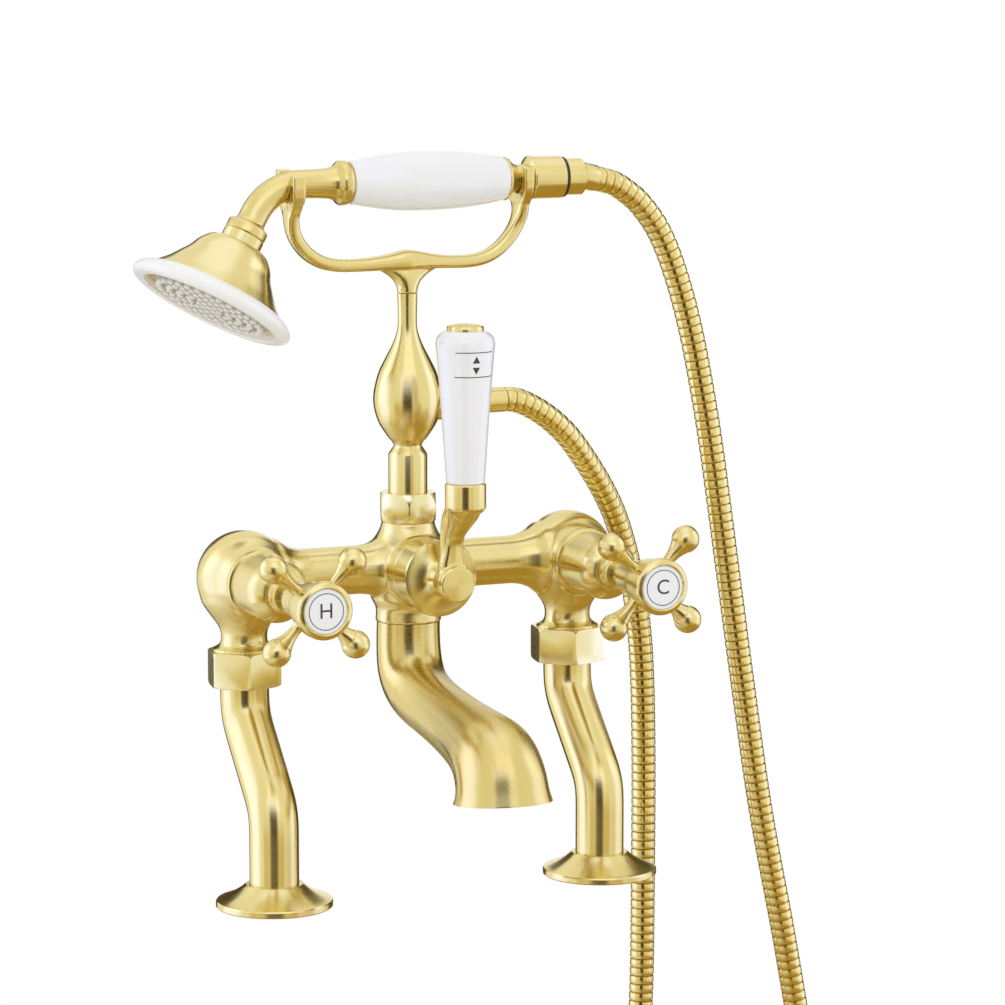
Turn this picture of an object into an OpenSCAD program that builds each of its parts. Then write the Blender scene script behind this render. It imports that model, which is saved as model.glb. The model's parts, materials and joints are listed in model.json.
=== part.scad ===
// Deck-mounted bath shower mixer with cross handles, a diverter lever and a handset on a cradle.
// Millimetres. The origin lies on the deck, midway between the two inlet holes.
// +Z points up, the front of the mixer faces -Y and the cold side is +X.

/* [Setting out] */
// Distance between the two inlet holes in the deck
inlet_centres = 180; // [174:1:190]
// Height of the valve axis above the deck
valve_height = 161; // [155:1:167]
// How far the legs crank forward from the valves to the deck
leg_crank = 41; // [36:1:46]
// Height of the handset's axis above the deck
handset_height = 359; // [353:1:368]

/* [Legs] */
// Outer diameter of the leg tubes
leg_d = 25; // [23:0.5:26]
// Bore of the leg tubes
leg_bore = 16; // [12:0.5:18]
// Bore of the threaded foot of each leg
inlet_thread_d = 19; // [18.5:0.5:20.5]
// Depth of that thread
inlet_thread_depth = 18; // [12:1:24]
// Bend radius of the legs, to the middle of the tube
leg_bend_r = 18; // [16:1:21]
// Bend angle of the legs
leg_bend_angle = 44; // [40:1:48]
// Diameter of the deck flanges
flange_d = 59; // [54:1:66]
// Height of the deck flanges
flange_h = 11.6; // [10:0.2:15]
// Size across the flats of the union nuts
union_nut_af = 34.5; // [34:0.5:38]
// Height of the union nuts
union_nut_h = 18; // [17:0.5:21]

/* [Body] */
// Diameter of the ball ends
ball_d = 48; // [46:0.5:50]
// Diameter of the bar between the ball ends
bar_d = 25; // [22:0.5:26]
// From the valve axis down to the top of the union nuts
neck_drop = 37; // [36:0.5:39]
// Waist of the necks under the ball ends
neck_d = 23.6; // [22:0.2:25]
// Diameter of the central chamber
chamber_d = 44; // [42:0.5:48]
// Diameter of the seat that the spout screws up to
spout_seat_d = 34; // [33:0.5:35]
// From the valve axis down to that seat
spout_seat_drop = 28; // [27:0.5:30]
// Diameter of the waterways
waterway_d = 13; // [10:0.5:14]

/* [Valves] */
// Diameter of the bonnets
bonnet_d = 32; // [30:0.5:34]
// From the valve axis to the seat of the bonnets
bonnet_seat = 21.7; // [21:0.1:23]
// From the valve axis to the front end of the bonnets
bonnet_reach = 66; // [64:0.5:70]
// Diameter of the spindles
spindle_d = 12; // [11:0.5:13]
// From the valve axis to the face of the index discs
index_reach = 115; // [112:0.5:120]
// Diameter of the index discs
index_d = 22; // [20:0.2:23]
// Diameter of the rings round the index discs
index_ring_d = 28.5; // [27.5:0.5:31]
// From the middle of a cross handle to its ball ends
arm_reach = 29; // [27:0.5:33]
// Diameter of the ball ends of the cross handles
arm_ball_d = 14; // [12:0.5:15]
// Turn of the cross handles when shut
cross_turn = 47; // [40:1:50]

/* [Diverter] */
// Diameter of the diverter's collar
collar_d = 36; // [34:0.5:38]
// Diameter of the dish in front of the collar
dish_d = 39.4; // [38:0.2:42]
// From the valve axis to the rim of the dish
dish_reach = 43.6; // [42:0.2:45]
// Diameter of the lever's hub
lever_hub_d = 18.6; // [17:0.2:20]
// From the valve axis to the face of the lever's cap
lever_reach = 66; // [65:0.5:69]
// From the valve axis forward to the lever's grip
grip_forward = 75; // [72:0.5:78]
// From the hub up to the top of the grip's socket
socket_rise = 52.7; // [50:0.1:56]
// Diameter of the grip's socket
socket_d = 20.6; // [20:0.2:23]
// Length of the lever's ceramic grip
lever_grip_h = 76; // [65:1:85]
// Diameter of the lever's grip at its wide end
lever_grip_d = 29.6; // [26:0.2:32]

/* [Spout] */
// From the column forward to the middle of the spout's mouth
spout_reach = 121; // [110:1:135]
// Wall of the spout
spout_wall = 2.6; // [2:0.1:3]

/* [Riser] */
// Size across the flats of the riser nut
riser_nut_af = 28; // [27:0.5:29]
// Diameter of the stub under the bulb
riser_stub_d = 20; // [19:0.5:21]
// Diameter of the bulb
bulb_d = 35.5; // [34:0.5:40]
// Height of the bulb's middle above the valve axis
bulb_rise = 84; // [80:1:88]
// Diameter of the slender neck over the bulb
stem_d = 10; // [9:0.5:11]

/* [Cradle] */
// Distance between the two forks
cradle_span = 126; // [123:1:129]
// Thickness of the cradle's arms
cradle_arm_d = 6.8; // [5.8:0.2:7.6]
// Width of each fork along the handset
fork_w = 5.3; // [4.5:0.1:5.8]
// Thickness of the fork's prongs
prong_t = 5.4; // [4.5:0.1:6]

/* [Handset] */
// Diameter of the handset's neck
handset_neck_d = 14.5; // [13.5:0.1:15]
// Length of the ceramic grip
grip_l = 85; // [80:1:90]
// Largest diameter of the ceramic grip
grip_d = 30.4; // [28:0.2:33]
// Bend of the neck, from the grip's axis to the rose's axis
rose_bend = 60; // [55:1:65]
// Roll of the rose towards the front
rose_roll = 6.5; // [0:0.5:10]
// Diameter of the rose over its rim
rose_d = 86; // [82:1:92]
// Diameter of the handset's connector
connector_d = 20.8; // [20:0.2:23]

/* [Hose] */
// Outer diameter of the hose
hose_d = 12.5; // [11.5:0.1:13]
// Bore of the hose
hose_bore = 8; // [6:0.5:9]
// Number of ribs on the hose
hose_ribs = 200; // [120:10:200]

/* [Hidden] */

// Finishes
brass = [0.86, 0.72, 0.38];
ceramic = [0.96, 0.96, 0.95];
white_plastic = [0.93, 0.93, 0.91];
black_rubber = [0.1, 0.1, 0.1];
steel = [0.7, 0.7, 0.72];

// Clearances: pieces screwed or pressed together, a turning spindle, and pieces that lift apart
seat_gap = 0.05;
running_gap = 0.06;
lift_gap = 0.4;

// Straight tubes lap over the ends of their bends and are a hair wider there
lap = 0.8;
lap_step = 0.2;

// Main axes
valve_x = inlet_centres / 2;
bar_y = leg_crank;
union_turn = 19;
riser_nut_turn = 10;

// Union between each leg and the body, by height above the deck
union_top = valve_height - neck_drop;
union_foot = union_top - union_nut_h;
union_thread_r = 15;
union_thread_l = 10;
washer_t = 2;
leg_lip_t = 4;

// Cranked legs: where the bends start and end
bend_top = union_foot - 8;
bend_side = leg_bend_r * (1 - cos(leg_bend_angle));
bend_drop = leg_bend_r * sin(leg_bend_angle);
crank_run = (leg_crank - 2 * bend_side) / sin(leg_bend_angle);
bend_foot = bend_top - 2 * bend_drop - crank_run * cos(leg_bend_angle);

// Valves, measured forward from the valve axis
bonnet_rim_t = 3.7;
cartridge_r = 8.4;
cartridge_front = 44;
tail_r = spindle_d / 2 - 1;
bonnet_thread_r = 11;
bonnet_thread_l = 9;
hub_back = bonnet_reach + 11;
arm_plane = index_reach - 15.5;
ring_back = index_reach - 6.4;
index_t = 3.5;
hub_r = 12.4;
screw_r = 2;

// Diverter, measured forward from the valve axis
diverter_seat = 24.8;
diverter_thread_r = 13;
diverter_thread_l = 10;
diverter_cartridge_r = 10.9;
diverter_spindle_r = 5;
dish_front = dish_reach + 7.4;
lever_back = dish_front + 0.4;
cap_t = 3.5;

// Lever grip, by height above the deck
socket_top = valve_height + socket_rise;
socket_r = socket_d / 2;
grip_top = socket_top + lever_grip_h;
rod_r = 3;

// Spout seat and nipple
spout_top = valve_height - spout_seat_drop;
nipple_r = 12;
nipple_l = 9;

// Riser and cradle
riser_foot = valve_height + 24;
riser_nut_h = 14.8;
riser_thread_r = 12;
riser_thread_l = 6.5;
riser_head = riser_foot + riser_thread_l;
riser_lip_t = 3.2;
bulb_z = valve_height + bulb_rise;
riser_top = handset_height - 57;
boss_r = 9;
boss_x = 22;
outlet_thread_r = 7.5;
outlet_thread_l = 9;
outlet_nut_l = 14;

// Handset, measured from the middle of the cradle along +X
fork_x = cradle_span / 2;
waist_r = 7;
waist_half = fork_w / 2 + lift_gap;
waist_near = fork_x - waist_half;
waist_far = fork_x + waist_half;
rear_collar_l = 6.6;
grip_far = waist_near - rear_collar_l;
grip_near = grip_far - grip_l;
neck_flange_l = 9.5;
neck_start = grip_near - neck_flange_l;
elbow_x = -fork_x + 5.5;
elbow_r = 30;
elbow_sag = 1.6;
rose_run = 11;
tube_r = 5.9;
handset_bore = 9;
shoulder_l = 2.6;
connector_near = waist_far + shoulder_l;
connector_l = 16.6;
ring_t = 1.6;
hose_collar_r = 9;
hose_collar_l = 10.15;
collar_far = connector_near + connector_l + ring_t + hose_collar_l;
rose_r = rose_d / 2;
nozzle_r = 1.5;

// Hose route: the lower strand starts at the riser and the upper strand ends at the handset
hose_low = [
    [40, 41, 245], [53, 41, 245], [63, 41, 243.5], [77, 42, 236], [90, 43, 225], [102, 46, 211],
    [114, 49, 194], [123, 51, 177], [131, 53, 154], [136, 54, 132], [140, 55, 100], [142, 56, 50],
    [142, 56, -20], [141, 56, -90], [135, 55, -155], [125, 54, -215], [117, 52, -272], [122, 50, -322],
    [148, 48, -358]
];
hose_high = [
    [187, 46, -368], [224, 44, -350], [246, 43, -307], [250, 42, -245], [242, 41, -170], [228, 41, -98],
    [219, 41, -52], [205, 41, 15], [194, 41, 82], [184, 41, 147], [174, 41, 212], [167, 41, 250],
    [160, 41, 281], [152, 41, 307], [143, 41, 328], [133, 41, 342], [124, 41, 350], [113, 41, 356],
    [100, 41, 359]
];
hose_straight = 13;
rib_depth = 0.7;
outlet_end = [boss_x + 18, bar_y, bulb_z];
hose_lead = hose_high[len(hose_high) - 2] - hose_high[len(hose_high) - 1];
hose_droop = atan2(-hose_lead[2], hose_lead[0]);
handset_end = [collar_far + 3, bar_y, handset_height];

// Curves
function arc(c, r, from, to, n) =
    [for (k = [0:n]) c + r * [cos(from + (to - from) * k / n), sin(from + (to - from) * k / n)]];
function between(a, b, c, d, t) = 0.5 * ((2 * b) + (c - a) * t + (2 * a - 5 * b + 4 * c - d) * t * t
    + (3 * b - a - 3 * c + d) * t * t * t);
function smooth(p, n) = [
    for (i = [0:len(p) - 2])
        for (k = [0:n - 1])
            between(p[max(i - 1, 0)], p[i], p[i + 1], p[min(i + 2, len(p) - 1)], k / n),
    p[len(p) - 1]
];
function heading(p, i) = let (d = p[min(i + 1, len(p) - 1)] - p[max(i - 1, 0)]) d / norm(d);

// Solids of turning: outlines are [radius, distance along the axis]
module turned(outline) rotate_extrude($fn = 96) polygon(outline);
module rod(r, from, to) translate([0, 0, from]) cylinder(r = r, h = to - from, $fn = 96);
module forward() rotate([90, 0, 0]) children();
module rightward() rotate([0, 90, 0]) children();

// Hexagon nut with its corners turned off at both ends
module hexagon(across, from, to) {
    corner = across / sqrt(3);
    chamfer = corner - across / 2;
    intersection() {
        translate([0, 0, from]) cylinder(r = corner, h = to - from, $fn = 6);
        turned([
            [0, from], [across / 2 - 0.3, from], [corner + 0.2, from + chamfer],
            [corner + 0.2, to - chamfer], [across / 2 - 0.3, to], [0, to]
        ]);
    }
}

// Lofts: rings of points turn the right-handed way round the direction of travel
function band(a, b, n) = [
    for (j = [0:n - 1]) let (k = (j + 1) % n) each [[a + j, b + j, b + k], [a + j, b + k, a + k]]
];
function turned_over(faces) = [for (f = faces) [f[0], f[2], f[1]]];
module loft(rings) {
    n = len(rings[0]);
    end = (len(rings) - 1) * n;
    polyhedron(
        [for (ring = rings) each ring],
        concat(
            [for (i = [0:len(rings) - 2]) each band(i * n, i * n + n, n)],
            [for (j = [1:n - 2]) [0, j, j + 1]],
            [for (j = [1:n - 2]) [end, end + j + 1, end + j]]
        )
    );
}
module pipe(outer, inner) {
    n = len(outer[0]);
    first = len(outer) * n;
    polyhedron(
        concat([for (ring = outer) each ring], [for (ring = inner) each ring]),
        concat(
            [for (i = [0:len(outer) - 2]) each band(i * n, i * n + n, n)],
            turned_over([for (i = [0:len(inner) - 2]) each band(first + i * n, first + i * n + n, n)]),
            turned_over(band(0, first, n)),
            band(first - n, first + (len(inner) - 1) * n, n)
        )
    );
}
function oval(c, u, v, n) = [for (j = [0:n - 1]) c + cos(360 * j / n) * u + sin(360 * j / n) * v];
function cushion(c, u, v, round, n) = [
    for (j = [0:n - 1])
        let (a = cos(360 * j / n), b = sin(360 * j / n))
            c + sign(a) * pow(abs(a), round) * u + sign(b) * pow(abs(b), round) * v
];

// Places
module at_foot(side) translate([side * valve_x, 0, 0]) children();
module at_neck(side) translate([side * valve_x, bar_y, 0]) children();
module at_valve(side) translate([side * valve_x, bar_y, valve_height]) forward() children();
module at_column() translate([0, bar_y, 0]) children();
module at_diverter() translate([0, bar_y, valve_height]) forward() children();
module at_lever() translate([0, bar_y - grip_forward, 0]) children();
module at_handset() translate([0, bar_y, handset_height]) rotate([-rose_roll, 0, 0]) children();
module along_handset() at_handset() rightward() children();
module at_rose()
    at_handset()
        translate([elbow_x - elbow_r * sin(rose_bend), 0, -elbow_r * (1 - cos(rose_bend))])
            rotate([0, 270 - rose_bend, 0]) children();

// Deck flange: a bell that slopes up to the leg
module flange() {
    r = flange_d / 2;
    bore = leg_d / 2 + seat_gap;
    lip = bore + 2;
    slope = r - lip;
    turned(concat(
        [[bore, 0], [r - 0.6, 0], [r, 0.6], [r, 2.8]],
        smooth([
            [r - 0.5, 3.5], [r - 0.22 * slope, flange_h * 0.38], [r - 0.55 * slope, flange_h * 0.58],
            [r - 0.8 * slope, flange_h * 0.78], [lip + 0.6, flange_h - 0.6], [lip - 0.2, flange_h]
        ], 3),
        [[bore, flange_h]]
    ));
}
module hot_flange() color(brass) at_foot(-1) flange();
module cold_flange() color(brass) at_foot(1) flange();

// Cranked leg: two straight ends, two bends and a slanting run between them
module leg_bend(centre, from, d)
    translate([0, centre[0], centre[1]]) rotate([90, 0, 90]) rotate([0, 0, from])
        rotate_extrude(angle = leg_bend_angle, $fn = 96)
            translate([leg_bend_r, 0]) circle(d = d - 2 * lap_step);
module leg_run(d, foot, head) {
    rod(d / 2, foot, bend_foot + lap);
    leg_bend([leg_bend_r, bend_foot], 180 - leg_bend_angle, d);
    translate([0, bend_side, bend_foot + bend_drop]) rotate([-leg_bend_angle, 0, 0])
        rod(d / 2, -lap, crank_run + lap);
    leg_bend([leg_crank - leg_bend_r, bend_top], -leg_bend_angle, d);
    translate([0, leg_crank, 0]) rod(d / 2, bend_top - lap, head);
}
leg_head = union_top - union_thread_l - washer_t;
module leg() difference() {
    union() {
        leg_run(leg_d, 0, leg_head);
        translate([0, leg_crank, 0]) rod(union_thread_r - 0.5, union_foot + leg_lip_t + seat_gap, leg_head);
    }
    leg_run(leg_bore, inlet_thread_depth, leg_head + 1);
    rod(inlet_thread_d / 2, -1, inlet_thread_depth);
}
module hot_leg() color(brass) at_foot(-1) leg();
module cold_leg() color(brass) at_foot(1) leg();

// Union nut: the lip under it holds the leg up against its washer
module union_nut() difference() {
    rotate(union_turn) hexagon(union_nut_af, union_foot, union_top);
    rod(union_thread_r + seat_gap, union_foot + leg_lip_t, union_top + 1);
    rod(leg_d / 2 + seat_gap, union_foot - 1, union_foot + leg_lip_t + 1);
}
module hot_union_nut() color(brass) at_neck(-1) union_nut();
module cold_union_nut() color(brass) at_neck(1) union_nut();
module leg_washers()
    color(black_rubber)
        for (side = [-1, 1])
            at_neck(side) difference() {
                rod(union_thread_r - 0.5, leg_head, leg_head + washer_t);
                rod(leg_bore / 2, leg_head - 1, leg_head + washer_t + 1);
            }

// Body casting: ball ends, necks, bar and central chamber
module ball_end() {
    r = ball_d / 2;
    waist = neck_d / 2;
    z = valve_height;
    translate([0, 0, z]) sphere(r = r, $fn = 96);
    turned(concat(
        [[0, z]],
        smooth([
            [r - 1, z - 6], [r - 2.4, z - 12], [r - 6.2, z - 18], [waist + 2.3, z - 23],
            [waist + 0.3, z - 27], [waist, union_top + 5.2], [waist + 1.2, union_top + 2.6],
            [union_thread_r + 1, union_top + 1.2]
        ], 2),
        [[union_thread_r + 1.5, union_top], [union_thread_r, union_top],
            [union_thread_r, leg_head + washer_t], [0, leg_head + washer_t]]
    ));
    translate([0, 0, z]) forward() turned(concat(
        [[0, 0]],
        smooth([[r - 2, 7], [r - 4, 13], [r - 5.9, 17], [bonnet_d / 2 + 1, bonnet_seat]], 2),
        [[0, bonnet_seat]]
    ));
}
module bar() {
    r = bar_d / 2;
    chamber_r = chamber_d / 2;
    ball_face = valve_x - ball_d / 2;
    half = concat(
        smooth([
            [chamber_r, 0], [chamber_r - 0.6, 5], [chamber_r - 3.2, 10.5], [r + 3.5, 16.5], [r + 1, 21.5],
            [r, 28]
        ], 3),
        smooth([
            [r, ball_face - 9], [r + 0.8, ball_face - 3.5], [r + 3, ball_face + 2], [r + 6, ball_face + 6],
            [0.395 * ball_d, ball_face + 10]
        ], 2)
    );
    whole = concat([for (i = [len(half) - 1:-1:1]) [half[i][0], -half[i][1]]], half);
    end = half[len(half) - 1][1];
    translate([0, 0, valve_height]) rightward() turned(concat([[0, -end]], whole, [[0, end]]));
}
module chamber() {
    seat = spout_seat_d / 2;
    turned(concat(
        [[0, spout_top], [seat, spout_top], [seat, spout_top + 1.6]],
        smooth([
            [seat - 0.3, spout_top + 4], [seat, spout_top + 7.6], [seat + 2.4, spout_top + 12],
            [seat + 3, spout_top + 17]
        ], 2),
        smooth([
            [riser_thread_r + 7.4, valve_height + 12.5], [riser_thread_r + 4.6, valve_height + 16.4],
            [riser_thread_r + 2.4, valve_height + 20.4], [riser_thread_r + 1.6, riser_foot]
        ], 2),
        [[riser_thread_r, riser_foot], [riser_thread_r, riser_head], [0, riser_head]]
    ));
    translate([0, 0, valve_height]) forward() rod(collar_d / 2, 0, diverter_seat);
}
module valve_pocket() {
    rod(cartridge_r + seat_gap, -4, bonnet_seat);
    rod(bonnet_thread_r + seat_gap, bonnet_seat - bonnet_thread_l, bonnet_seat + 1);
    rod(ball_d / 2, bonnet_seat, ball_d / 2 + 1);
}
module diverter_pocket() {
    rod(diverter_cartridge_r + seat_gap, -4, diverter_seat + 1);
    rod(diverter_thread_r + seat_gap, diverter_seat - diverter_thread_l, diverter_seat + 1);
}
module mixer_body() color(brass) difference() {
    union() {
        for (side = [-1, 1]) at_neck(side) ball_end();
        at_column() bar();
        at_column() chamber();
    }
    for (side = [-1, 1]) {
        at_neck(side) rod(waterway_d / 2, leg_head, valve_height);
        at_valve(side) valve_pocket();
    }
    translate([-valve_x, bar_y, valve_height]) rightward() rod(waterway_d / 2, 0, inlet_centres);
    at_column() rod(waterway_d / 2, spout_top - 1, riser_head + 1);
    at_column() rod(nipple_r + seat_gap, spout_top - 1, spout_top + nipple_l);
    at_diverter() diverter_pocket();
}

// Valve bonnet: threaded tail, collar, cylinder, domed shoulder and ringed neck
module bonnet() {
    r = bonnet_d / 2;
    neck_r = spindle_d / 2 + 3.6;
    dome = bonnet_reach - 6 - neck_r * 0.3;
    difference() {
        turned(concat(
            [[0, bonnet_seat - bonnet_thread_l], [bonnet_thread_r, bonnet_seat - bonnet_thread_l],
                [bonnet_thread_r, bonnet_seat], [r + 1, bonnet_seat], [r + 1.6, bonnet_seat + 0.8],
                [r + 1.6, bonnet_seat + bonnet_rim_t - 1.2], [r + 1, bonnet_seat + bonnet_rim_t - 0.3],
                [r, bonnet_seat + bonnet_rim_t]],
            smooth([
                [r, dome - 10], [r - 0.6, dome - 6.4], [r - 2.4, dome - 3], [neck_r + 1, dome - 0.4],
                [neck_r - 0.6, dome]
            ], 3),
            [[neck_r - 0.6, bonnet_reach - 5.4], [neck_r, bonnet_reach - 4.8], [neck_r, bonnet_reach - 2.6],
                [neck_r - 0.8, bonnet_reach - 2], [neck_r - 0.8, bonnet_reach - 0.6],
                [neck_r - 1.4, bonnet_reach], [0, bonnet_reach]]
        ));
        rod(cartridge_r + seat_gap, 0, cartridge_front + 1);
        rod(spindle_d / 2 + running_gap, cartridge_front, bonnet_reach + 1);
    }
}
module hot_bonnet() color(brass) at_valve(-1) bonnet();
module cold_bonnet() color(brass) at_valve(1) bonnet();

// Quarter-turn cartridge: a plain body with two ports at the back and a socket for the spindle's tail
module cartridge() difference() {
    rod(cartridge_r, -3.5, cartridge_front);
    rod(tail_r + running_gap, 26, cartridge_front + 1);
    for (x = [-4, 4]) translate([x, 0, 0]) rod(2.2, -4, 6);
}
module hot_cartridge() color(steel) at_valve(-1) cartridge();
module cold_cartridge() color(steel) at_valve(1) cartridge();

// Spindle: its tail turns the cartridge and its front end carries the cross handle
spindle_end = arm_plane + 1.5;
module spindle() difference() {
    union() {
        rod(tail_r, 26.5, cartridge_front + 2);
        rod(spindle_d / 2, cartridge_front + 1.4, spindle_end);
    }
    rod(screw_r + seat_gap, spindle_end - 10, spindle_end + 1);
}
module hot_spindle() color(brass) at_valve(-1) spindle();
module cold_spindle() color(brass) at_valve(1) spindle();

// Cross handle: a flared hub with four arms that swell into balls
module cross_arm() {
    ball_r = arm_ball_d / 2;
    turned(concat(
        smooth([
            [3.6, hub_r - 3], [2.8, hub_r + 1.2], [2.8, hub_r + 3.6], [3.6, arm_reach - ball_r - 1.6],
            [ball_r * 0.72, arm_reach - ball_r * 0.72]
        ], 3),
        [[0, arm_reach - ball_r * 0.72], [0, hub_r - 3]]
    ));
    translate([0, 0, arm_reach]) sphere(d = arm_ball_d, $fn = 64);
}
module cross_handle() difference() {
    union() {
        turned(concat(
            [[0, hub_back], [8.1, hub_back], [8.9, hub_back + 0.8]],
            smooth([
                [9, hub_back + 5], [9.6, arm_plane - 9], [11.4, arm_plane - 5], [hub_r, arm_plane - 1],
                [hub_r, ring_back]
            ], 3),
            [[0, ring_back]]
        ));
        for (k = [0:3])
            translate([0, 0, arm_plane]) rotate([0, 0, cross_turn + 90 * k]) rightward() cross_arm();
    }
    rod(spindle_d / 2 + seat_gap, hub_back - 1, spindle_end);
    rod(spindle_d / 2 - 1, spindle_end - 1, ring_back + 1);
}
module hot_cross() color(brass) at_valve(-1) cross_handle();
module cold_cross() color(brass) at_valve(1) cross_handle();

// Screw that holds the handle on the spindle
module handle_screw() {
    rod(screw_r, spindle_end - 8, spindle_end + 0.5);
    rod(spindle_d / 2 - 1.5, spindle_end, spindle_end + 2.2);
}
module hot_screw() color(steel) at_valve(-1) handle_screw();
module cold_screw() color(steel) at_valve(1) handle_screw();

// Ring and ceramic disc on the front of each handle
module index_ring() {
    r = index_ring_d / 2;
    seat = index_reach - index_t;
    difference() {
        turned(concat(
            [[0, ring_back], [r - 0.6, ring_back], [r, ring_back + 0.6]],
            arc([r - 2.4, index_reach - 2.2], 2.4, 0, 80, 6),
            [[index_d / 2 + 0.8, index_reach + 0.4], [index_d / 2, index_reach - 0.4],
                [0, index_reach - 0.4]]
        ));
        rod(index_d / 2 + seat_gap, seat, index_reach + 1);
        rod(spindle_d / 2, ring_back - 1, seat + 1);
    }
}
module hot_index_ring() color(brass) at_valve(-1) index_ring();
module cold_index_ring() color(brass) at_valve(1) index_ring();
module index_disc() {
    r = index_d / 2;
    seat = index_reach - index_t;
    turned([[0, seat], [r, seat], [r, index_reach - 0.5], [r - 0.5, index_reach - 0.1], [0, index_reach]]);
}
module hot_index() color(ceramic) at_valve(-1) index_disc();
module cold_index() color(ceramic) at_valve(1) index_disc();

// Diverter bonnet: brushed collar and a trumpet-shaped dish
module diverter_bonnet() color(brass) at_diverter() {
    r = dish_d / 2;
    difference() {
        turned(concat(
            [[0, diverter_seat - diverter_thread_l], [diverter_thread_r, diverter_seat - diverter_thread_l],
                [diverter_thread_r, diverter_seat], [collar_d / 2, diverter_seat],
                [collar_d / 2, dish_reach - 2.4], [r - 0.5, dish_reach - 1.9], [r, dish_reach - 1.2],
                [r - 0.5, dish_reach]],
            smooth([
                [r - 1.6, dish_reach + 0.4], [r - 6, dish_reach + 1.4], [r - 10, dish_reach + 3.2],
                [diverter_spindle_r + 2.8, dish_front - 1.4], [diverter_spindle_r + 2, dish_front]
            ], 3),
            [[0, dish_front]]
        ));
        rod(diverter_cartridge_r + seat_gap, 0, dish_reach - 3.6);
        rod(diverter_spindle_r + running_gap, 0, dish_front + 1);
    }
}
module diverter_cartridge() color(steel) at_diverter() difference() {
    rod(diverter_cartridge_r, -3.5, dish_reach - 4);
    rod(diverter_spindle_r + running_gap, 18, dish_reach);
}

// Lever: spindle, hub with its cranked arm and socket, cap, ceramic grip, tie rod and button
hub_front = lever_reach - cap_t;
module diverter_spindle() color(brass) at_diverter() difference() {
    rod(diverter_spindle_r, 18.5, hub_front - 1);
    rod(screw_r + seat_gap, hub_front - 10, hub_front + 1);
}
// Each station of the limb: its back edge, its front edge, half a width and how round its section is
lever_stations = [
    [hub_front - 8, 2, hub_front - 0.2, 2, 8.2, 0.6],
    [hub_front - 8.9, 9, hub_front - 0.3, 9, 7.3, 0.6],
    [hub_front - 10.1, 16, hub_front - 0.1, 15.5, 5.9, 0.6],
    [hub_front - 10.6, 23, hub_front + 0.5, 20.5, 5.4, 0.6],
    [hub_front - 9.5, socket_rise - 22.2, hub_front + 3.1, socket_rise - 28.5, 5.6, 0.6],
    [grip_forward - 18, socket_rise - 16.3, grip_forward - 3.5, socket_rise - 24.1, 6.8, 0.7],
    [grip_forward - 13.4, socket_rise - 13.1, grip_forward + 3.5, socket_rise - 18.5, 8.6, 0.85],
    [grip_forward - 9.4, socket_rise - 10.1, grip_forward + 9.2, socket_rise - 11.7, 9.8, 1]
];
function lever_point(s, k) = [0, bar_y - s[k], valve_height + s[k + 1]];
module lever_limb()
    loft([
        for (s = smooth(lever_stations, 3))
            let (back = lever_point(s, 0), front = lever_point(s, 2))
                cushion((back + front) / 2, [s[4], 0, 0], (back - front) / 2, s[5], 24)
    ]);
module lever_arm() color(brass) difference() {
    union() {
        at_diverter() rod(lever_hub_d / 2, lever_back + 3, hub_front);
        at_diverter() rod(diverter_spindle_r + 1.4, lever_back, lever_back + 4);
        lever_limb();
        at_lever() turned([
            [0, socket_top - 17.4], [socket_r - 4.6, socket_top - 17], [socket_r - 0.6, socket_top - 13.6],
            [socket_r, socket_top - 12.6], [socket_r, socket_top - 0.4], [socket_r - 0.4, socket_top],
            [0, socket_top]
        ]);
    }
    at_diverter() rod(diverter_spindle_r + seat_gap, lever_back - 1, hub_front - 0.8);
    at_diverter() rod(screw_r + seat_gap, hub_front - 2, hub_front + 1);
    at_lever() rod(rod_r + seat_gap, socket_top - 10, socket_top + 1);
}
module lever_cap() color(brass) at_diverter() {
    r = lever_hub_d / 2;
    turned(concat([[0, hub_front], [r, hub_front], [r, hub_front + 1.4]],
        arc([r - 1.2, lever_reach - 1.2], 1.2, 10, 90, 5), [[0, lever_reach]]));
    rod(screw_r, hub_front - 8, hub_front + 1);
}
module lever_grip() color(ceramic) at_lever() {
    r = lever_grip_d / 2;
    foot_r = socket_r - 0.6;
    mid_r = (foot_r + r) / 2;
    difference() {
        turned(concat(
            [[0, socket_top], [foot_r - 0.5, socket_top], [foot_r, socket_top + 0.6]],
            smooth([
                [foot_r + 0.2, socket_top + 4], [mid_r, (socket_top + grip_top) / 2],
                [r - 0.4, grip_top - 11], [r, grip_top - 6.8], [r - 1, grip_top - 2.8],
                [r - 3.8, grip_top - 0.4], [r - 5.2, grip_top]
            ], 4),
            [[0, grip_top]]
        ));
        rod(rod_r + seat_gap, socket_top - 1, grip_top + 1);
    }
}
module lever_rod() color(brass) at_lever() rod(rod_r, socket_top - 9.5, grip_top);
module lever_button() color(brass) at_lever() {
    r = lever_grip_d / 2 - 5.6;
    turned(concat([[0, grip_top], [r, grip_top], [r, grip_top + 1.6]],
        smooth([[r - 0.5, grip_top + 2.4], [r * 0.6, grip_top + 3.1], [0, grip_top + 3.4]], 3)));
}

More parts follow.
